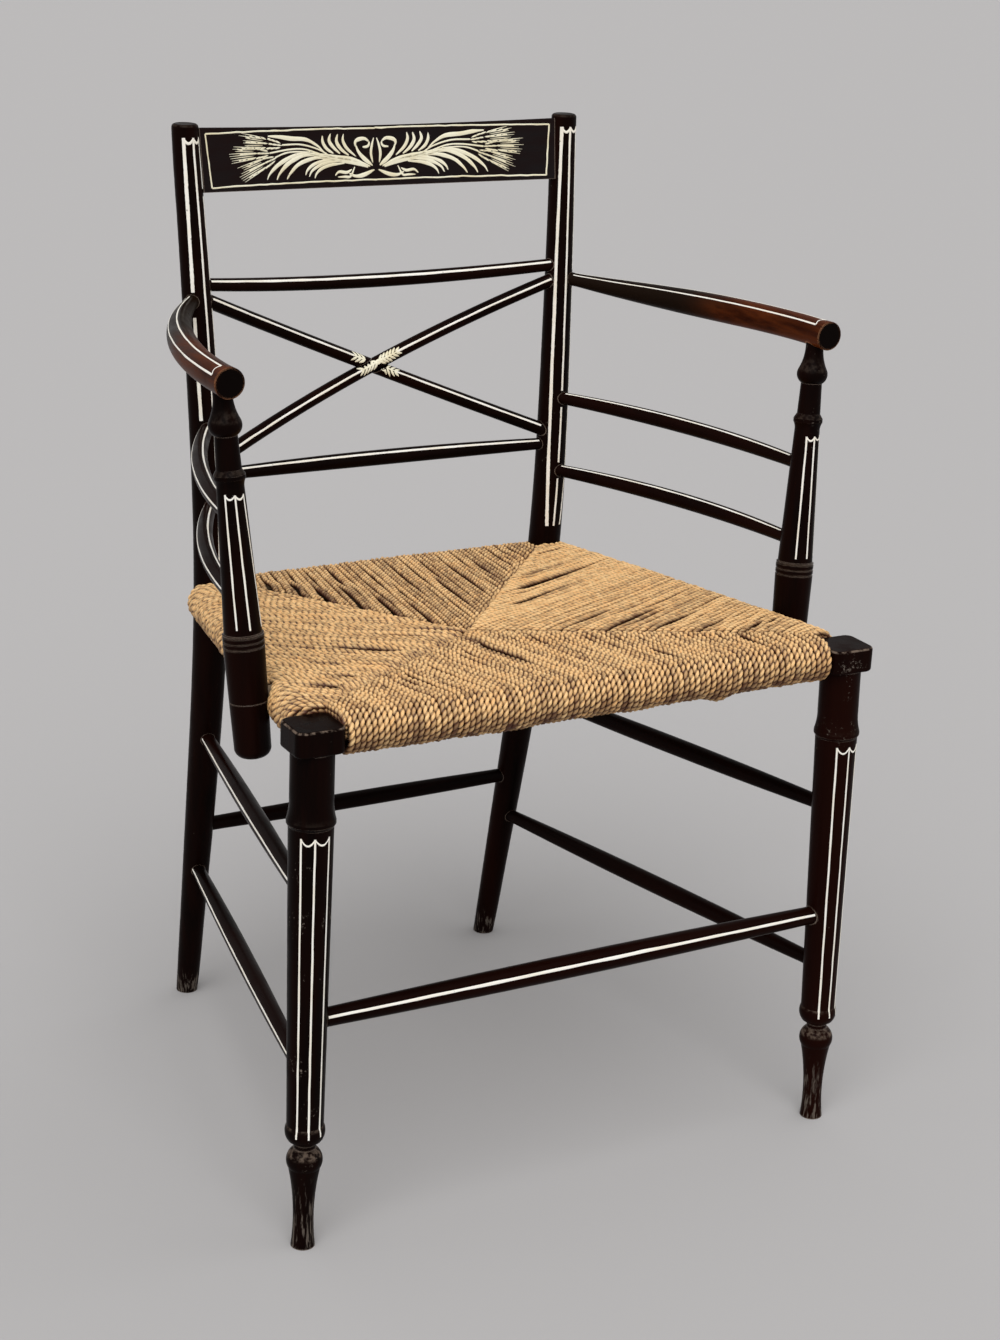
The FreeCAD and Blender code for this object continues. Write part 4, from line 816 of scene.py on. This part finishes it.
def even_axis(spots, degree):
    """A smooth curve through middles of sections; those that a socket throws off are left out."""
    share = np.linspace(0, 1, len(spots))
    kept = np.ones(len(spots), bool)
    for _ in range(8):
        curve = np.polyfit(share[kept], spots[kept], degree)
        fitted = np.stack([np.polyval(curve[:, i], share) for i in range(3)], 1)
        off = np.linalg.norm(spots - fitted, axis=1)
        kept = off <= max(0.1 * MM, 1.6 * np.median(off[kept]))
    return fitted


def upright_axis(node, low, high):
    """Middles of an upright at levels between two heights."""
    spots = points_of(node)
    band = spots[np.abs(spots[:, 2] - high) < 60 * MM]
    middles = [(band.min(0) + band.max(0)) / 2]
    for level in np.linspace(high, low, max(4, int((high - low) / BRUSH_STEP))):
        middles.append(core(node, (*middles[-1][:2], level), (RIGHT, BACK)))
    return even_axis(np.array(middles[1:]), 1)


# Lines on the uprights: height of their ends, dip of the swags and widths in mm, and the angle of each line with its
# turn on the way down.
UPRIGHT_LINES = {
    "front_leg_": ((0.1015, 0.3545), 5.5, (1.75, 1.75, 1.75), {
        "left": ((-50, 0), (-14.5, 0), (27, -2)), "right": ((-32.5, 0), (4.5, 0), (42, 0))}),
    "back_post_": ((0.452, 0.8155), 4.5, (3.2, 2.2, 2.0), {
        "left": ((-35, 0), (13.6, 0), (57, 0)), "right": ((-42, 0), (3.7, 0), (52, 0))}),
    "arm_support_": ((0.489, 0.5935), 3.6, (1.65, 1.65, 1.65), {
        "left": ((-48, 8), (-7, 8), (36, 22)), "right": ((-35, 0), (3, 2), (48, 8))}),
}


def paint_upright(kind, hand, covered_by):
    """Three lines down an upright, joined by two swags at the top."""
    node = kind + hand
    paint = PaintedPiece("lines_" + node, node, covered_by)
    span, dip, widths, lines = UPRIGHT_LINES[kind]
    widths = np.array(widths) * MM
    axis = upright_axis(node, *span)
    for (angle, turn), width in zip(lines[hand], widths):
        paint.stroke(axis, [between(FRONT, RIGHT, angle + turn * s) for s in np.linspace(0, 1, len(axis))], width)
    angles = [angle for angle, _ in lines[hand]]
    steps = 14
    for first, second in zip(angles, angles[1:]):
        share = np.linspace(0, 1, steps)
        ways = [between(FRONT, RIGHT, first + (second - first) * s) for s in share]
        fall = dip * MM * np.sin(math.pi * share) ** 0.8
        guides = np.array([axis[0] + way * 6 * MM for way in ways])
        guides[:, 2] -= fall
        paint.stroke(guides, ways, np.mean(widths) * (0.6 + 0.5 * np.sin(math.pi * share)), 0)
    paint.finish()


def stick_axis(node, axis, bow_way):
    """Middles along a stick, nearly from end to end; the bow lies along one direction."""
    start, end = ends_of(node, axis)
    run = unit(end - start)
    start, end = start + run * 2 * MM, end - run * 2 * MM
    count = max(6, int(np.linalg.norm(end - start) / BRUSH_STEP))
    across = np.cross(run, bow_way)
    chord = np.linspace(start, end, count)
    middles = [core(node, chord[0], (bow_way, across))]
    for spot, before in zip(chord[1:], chord):
        middles.append(core(node, middles[-1] + spot - before, (bow_way, across)))
    return even_axis(np.array(middles), 6)


def paint_stick(node, axis, bow_way, facings, width, covered_by):
    """Lines along a stick, a little thinner towards its ends, up to the pieces that it enters."""
    paint = PaintedPiece("line_" + node, node, covered_by)
    middles = stick_axis(node, axis, bow_way)
    share = np.linspace(0, 1, len(middles))
    thin = 0.75 + 0.25 * np.sin(math.pi * share) ** 0.5
    for facing in facings:
        paint.stroke(middles, facing, width * thin)
    paint.finish()


def paint_arm(hand):
    """Two lines along the top of an arm, joined by a loop behind its end."""
    node = "arm_" + hand
    paint = PaintedPiece("lines_" + node, node, ("back_post_" + hand,))
    start, end = ends_of(node, 1)
    middles = []
    for behind in np.linspace(start[1] + 9.5 * MM, end[1] - 9 * MM, 96):
        guess = middles[-1] if middles else start
        middles.append(core(node, (guess[0], behind, guess[2]), (RIGHT, UP)))
    middles = even_axis(np.array(middles), 7)
    for lean in ARM_LINE_LEANS[hand]:
        paint.stroke(middles, between(UP, RIGHT, lean), np.linspace(1.8, 1.1, len(middles)) * MM)
    share = np.linspace(0, 1, 12)
    first, second = ARM_LINE_LEANS[hand]
    ways = [between(UP, RIGHT, first + (second - first) * s) for s in share]
    guides = np.array([middles[0] + way * 6 * MM for way in ways])
    guides[:, 1] += 2.5 * MM * np.sin(math.pi * share)
    paint.stroke(guides, ways, 1.3 * MM, 0)
    paint.finish()


def paint_lines():
    for hand, side in HANDS:
        leg, post, support = "front_leg_" + hand, "back_post_" + hand, "arm_support_" + hand
        spindles = ("upper_arm_spindle_" + hand, "lower_arm_spindle_" + hand)
        stretchers = ("upper_side_stretcher_" + hand, "lower_side_stretcher_" + hand)
        paint_upright("front_leg_", hand, ("front_stretcher", *stretchers))
        paint_upright("back_post_", hand, ("arm_" + hand, *spindles, "top_rail", "mid_back_rail", "lower_back_rail",
                                           *CROSS_BARS))
        paint_upright("arm_support_", hand, spindles)
        paint_arm(hand)
        for spindle, stretcher in zip(spindles, stretchers):
            paint_stick(spindle, 1, RIGHT, (between(UP, RIGHT, -25 * side), between(UP, RIGHT, 75 * side)), 1.8 * MM,
                        (post, support))
            paint_stick(stretcher, 1, RIGHT, (between(UP, RIGHT, 72 * side),), 2.0 * MM, (post, leg))
    paint_stick("mid_back_rail", 0, BACK, (between(FRONT, UP, 40),), 2.6 * MM, POSTS)
    paint_stick("lower_back_rail", 0, BACK, (between(FRONT, UP, 49),), 2.4 * MM, POSTS)
    paint_stick("front_stretcher", 0, BACK, (between(FRONT, UP, 24),), 2.8 * MM, ("front_leg_left", "front_leg_right"))


def leaf_widths(count, width):
    """Thin at both ends, fullest before the middle."""
    share = np.linspace(0, 1, count)
    return width * (0.22 + 0.78 * np.sin(math.pi * share ** 0.8))


def paint_cross_bar(node, other, height, leaves, heart=0.0):
    """A line along a bar of the cross, broken by feathery leaves beside the crossing.

    leaves: for each way along the bar, the distance from the crossing and the length of its leaf.
    heart: length of the stroke that joins the two leaves.
    """
    paint = PaintedPiece("lines_" + node, node, (other, *POSTS))
    leaf = PaintedPiece("leaves_" + node, node, (other,))
    middles = stick_axis(node, 0, BACK)
    facing = between(FRONT, UP, height)
    middle = len(middles) // 2
    for way, (start, length) in zip((-1, 1), leaves):
        arm = middles[:middle + 1][::-1] if way < 0 else middles[middle:]
        reach = distances(arm)

        def spot_at(distance, aside):
            spot = np.array([np.interp(distance, reach, arm[:, i]) for i in range(3)])
            ahead = np.array([np.interp(distance + MM, reach, arm[:, i]) for i in range(3)])
            return spot + unit(np.cross(facing, ahead - spot)) * aside

        line = [spot_at(d, 0) for d in np.arange(start + length * 0.9, reach[-1], BRUSH_STEP)]
        paint.stroke(line, facing, 2.1 * MM)
        spine = [spot_at(d, 0) for d in np.linspace(start, start + length, 9)]
        leaf.stroke(spine, facing, leaf_widths(9, 2.2 * MM), 0)
        lobes = max(3, int(length / (3.4 * MM)))
        for number in range(lobes):
            share = number / lobes
            root = start + length * share
            wide = 5.2 * MM * math.sin(math.pi * (0.3 + 0.58 * share))
            for side in (-1, 1):
                tip = wide * side * chance.uniform(0.85, 1.1)
                lobe = [spot_at(root + d * 5.6 * MM, tip * d ** 0.8) for d in np.linspace(0, 1, 6)]
                leaf.stroke(lobe, facing, leaf_widths(6, 2.5 * MM), 0)
    if heart:
        ahead = unit(middles[middle + 1] - middles[middle])
        spine = middles[middle] + ahead * np.linspace(-heart / 2, heart / 2, 9)[:, None]
        leaf.stroke(spine, facing, leaf_widths(9, 5 * MM), 0)
    leaf.finish(spray_cream)
    paint.finish()


# Left half of the spray on the top rail, as a painter would set it out: mm from the rail's middle, across and up.
SPRAY_EARS = (
    ((-91.5, 8.6), (-102.5, 10.4), (-115, 11.8), (-128, 12.6)),
    ((-104, 2.8), (-113.5, 3.2), (-123.5, 3.2), (-133, 2.4)),
    ((-98, -1.5), (-106, -4), (-115.5, -7.5), (-124, -11)),
)
SPRAY_STEMS = (
    ((-91.5, 9), (-73, 8.6), (-56, 4), (-45, -2)),
    ((-104, 2.8), (-83.5, 5), (-69, 4.4), (-54.5, 0)),
    ((-99, -1.2), (-89, 2), (-79, 2.8), (-64, 1.8)),
)
SPRAY_LEAVES = (
    (((-105, 16.8), (-94, 15.8), (-82.5, 14), (-68, 12.6), (-57.5, 7.5), (-51, 2)), 4.2),
    (((-51.5, 15.2), (-51.3, 10), (-48, 4.5), (-41.5, 0)), 3.2),
    (((-43.5, 16.6), (-45, 10.8), (-41, 5), (-35, -0.3)), 3.4),
    (((-36.5, 16), (-37.8, 9.8), (-33.5, 3.2), (-26.5, -2)), 3.4),
    (((-30.8, 16), (-31.5, 10.4), (-27.8, 3.8), (-19.5, -3.2)), 3.2),
    (((-107.5, -19), (-104, -13.6), (-94.5, -6.4), (-79, 0), (-64, 1.6)), 3.6),
    (((-98, -19.6), (-94.5, -14), (-85, -6), (-69.5, -0.4), (-54.5, -1.6)), 3.8),
    (((-88, -19.6), (-84, -14.4), (-75, -7.3), (-60, -3.2), (-45, -3.6)), 3.8),
    (((-69.5, -17), (-67.5, -13), (-61.5, -8.7), (-52, -6), (-40, -5.4)), 3.2),
    (((-66, -18.6), (-63, -13.8), (-55.5, -9.6), (-45.5, -7), (-33.5, -6.6)), 3.2),
    (((-60.5, -20), (-58.5, -16), (-53, -12), (-43.5, -9.4), (-31, -8.6)), 3.2),
    (((-66, 1.2), (-45, -3.6), (-26, -6.8), (-8, -12.6)), 6.0),
    (((-52, -0.5), (-38, -3.4), (-22, -6), (-6, -12)), 4.6),
    (((-3.5, -11.4), (-12, -4.8), (-17, 1), (-19, 6)), 4.0),
    (((-19.4, 5), (-19.6, 8.8), (-16.6, 11), (-10.4, 11.6), (-6.2, 9)), 3.6),
    (((-6.4, 9.6), (-6, 7), (-8, 4.8), (-12.5, 4.4)), 2.4),
    (((-3.2, -9), (-4.6, -1), (-3.4, 6), (-1.4, 12)), 2.6),
    (((-2, -15), (-12.5, -19), (-20.5, -19.8), (-26.5, -17.4)), 3.8),
    (((-24, -14), (-29, -16.4), (-36.5, -15.6), (-40.5, -18.6)), 3.0),
    (((-38, -20), (-31, -20), (-25.5, -19.8), (-21, -12)), 2.4),
)
BORDER = ((-166.5, 21.6), (0, 20.4), (166.5, 21.6), (162.5, -22.6), (0, -23.4), (-162.5, -22.6))


def paint_top_rail():
    """Border line and two sprays of wheat that meet in a knot of scrolls and ribbon."""
    paint = PaintedPiece("spray_top_rail", "top_rail")
    low, high = corners("top_rail")
    middle = np.array([0, high[1], (low[2] + high[2]) / 2 + 2 * MM])

    def draw(marks, width, leaf=True, wobble=0.0):
        path = smooth_path(np.array([(x, 0, z) for x, z in marks]) * MM)
        length = np.linalg.norm(np.diff(path, axis=0), axis=1).sum()
        path = even_steps(path, length, 1.3 * MM, MM)[0] + middle
        widths = leaf_widths(len(path), width * MM) if leaf else np.full(len(path), width * MM)
        paint.stroke(path, FRONT, widths, wobble)

    for start, end in zip(BORDER, BORDER[1:] + BORDER[:1]):
        draw((start, end), 1.5, False, 0.25 * MM)
    for side in (-1, 1):
        def mirrored(marks):
            return [(-side * x, z) for x, z in marks]

        for marks in SPRAY_STEMS:
            draw(mirrored(marks), 1.5, False)
        for marks, width in SPRAY_LEAVES:
            draw(mirrored(marks), width)
        for marks in SPRAY_EARS:
            spine = smooth_path(mirrored(marks))
            ahead = unit(spine[-1] - spine[0])
            aside = np.array([-ahead[1], ahead[0]])
            rows = 7
            for row in range(rows):
                root = spine[int((len(spine) - 1) * row / rows)]
                for place in (-1, 0, 1):
                    spread = place * 4.8 * math.sin(math.pi * (0.16 + 0.5 * row / rows))
                    start = root + aside * spread * 0.75 + ahead * 1.6 * abs(place)
                    tip = start + ahead * chance.uniform(4.6, 6) + aside * place * 1.4
                    draw((start, (start + tip) / 2, tip), 1.7)
            for place in np.linspace(-1, 1, 8):
                start = spine[-12] + aside * place * 4.6
                tip = start + ahead * chance.uniform(17, 25) + aside * place * 2.2
                draw((start, tip), 0.8)
    paint.finish(spray_cream)


# Loose places in the rush, for either half of each field.
FRONT_GAPS = {"left": [(0.93, 0.3, 1.02, 7.5), (0.7, 0.5, 0.9, 1.6), (0.3, 0.55, 0.95, 1.4)],
              "right": [(0.55, 0.4, 0.9, 1.4), (0.8, 0.55, 0.95, 1.4)]}
FRONT_DROOPS = {"left": ((0.64, 0.14, 1.8), (0.3, 0.08, 0.9)), "right": ((0.46, 0.045, 4), (0.8, 0.1, 1.2))}
BACK_GAPS = {"left": [(0.12, 0.35, 1.1, 4.5), (0.24, 0.4, 1.1, 5), (0.36, 0.4, 1.1, 5.4), (0.48, 0.45, 1.1, 6),
                      (0.6, 0.45, 1.1, 5.2), (0.74, 0.55, 1.1, 4.4), (0.86, 0.6, 1.1, 3.4)],
             "right": [(0.3, 0.2, 0.7, 1.6), (0.5, 0.3, 1.0, 2.6), (0.66, 0.25, 0.9, 2.2), (0.82, 0.3, 1.0, 2.6)]}
SIDE_FRONT_GAPS = {"left": [(0.48, 0.2, 0.6, 8), (0.7, 0.4, 0.85, 11), (0.2, 0.25, 0.85, 10), (0.33, 0.4, 0.8, 7)],
                   "right": [(0.2, 0.3, 1.05, 3), (0.34, 0.5, 1.05, 4.8), (0.48, 0.4, 1.05, 5.4),
                             (0.62, 0.45, 1.05, 5.8), (0.76, 0.5, 1.05, 3.6)]}
SIDE_BACK_GAPS = {"left": [(0.65, 0.2, 0.8, 3.5), (0.85, 0.3, 0.8, 3)],
                  "right": [(0.45, 0.3, 0.9, 3), (0.62, 0.2, 0.9, 5.6), (0.85, 0.2, 0.9, 4.4)]}
wind_seat()
pack_seat()
paint_lines()
paint_cross_bar("cross_bar_rising", "cross_bar_falling", 27, ((2 * MM, 18 * MM), (0, 21 * MM)), 11 * MM)
paint_cross_bar("cross_bar_falling", "cross_bar_rising", 34, ((7 * MM, 13 * MM), (8 * MM, 20 * MM)))
paint_top_rail()


# Floor, light and camera.

def make_floor():
    material, _, _ = new_finish(
        "studio_floor", {"Base Color": (0.474, 0.465, 0.466, 1), "Roughness": 0.95, "Specular IOR Level": 0.0})
    half = 40
    mesh = bpy.data.meshes.new("studio_floor")
    mesh.from_pydata([(-half, -half, 0), (half, -half, 0), (half, half, 0), (-half, half, 0)], [], [(0, 1, 2, 3)])
    mesh.materials.append(material)
    floor = bpy.data.objects.new("studio_floor", mesh)
    scene.collection.objects.link(floor)


# Strength, spread, azimuth and height, in degrees.
LIGHTS = {"key_light": (1.60, 55, -32, 52), "fill_light": (0.30, 90, 50, 45),
          "left_light": (0.40, 80, -80, 24), "right_light": (0.30, 80, 95, 24)}


def make_light():
    world = bpy.data.worlds.new("studio")
    scene.world = world
    world.use_nodes = True
    background = world.node_tree.nodes["Background"]
    background.inputs["Color"].default_value = (1.0, 0.99, 0.98, 1)
    background.inputs["Strength"].default_value = 0.50
    for name, (strength, spread, azimuth, height) in LIGHTS.items():
        lamp = bpy.data.lights.new(name, "SUN")
        lamp.energy = strength
        lamp.angle = math.radians(spread)
        thing = bpy.data.objects.new(name, lamp)
        scene.collection.objects.link(thing)
        towards = Vector(between(between(FRONT, RIGHT, azimuth), UP, height))
        thing.rotation_euler = towards.to_track_quat("Z", "Y").to_euler()


def make_camera():
    lens = bpy.data.cameras.new("camera")
    lens.lens = 67.70
    lens.sensor_width = 36
    camera = bpy.data.objects.new("camera", lens)
    scene.collection.objects.link(camera)
    right = Vector((0.87392, -0.48406, 0.04406))
    up = Vector((0.12623, 0.31355, 0.94113))
    back = Vector((-0.46938, -0.81692, 0.33512))
    turned = Matrix((right, up, back)).transposed().to_4x4()
    camera.matrix_world = Matrix.Translation((-0.9975, -1.8007, 1.1127)) @ turned
    scene.camera = camera


make_floor()
make_light()
make_camera()
scene.view_settings.view_transform = "Standard"
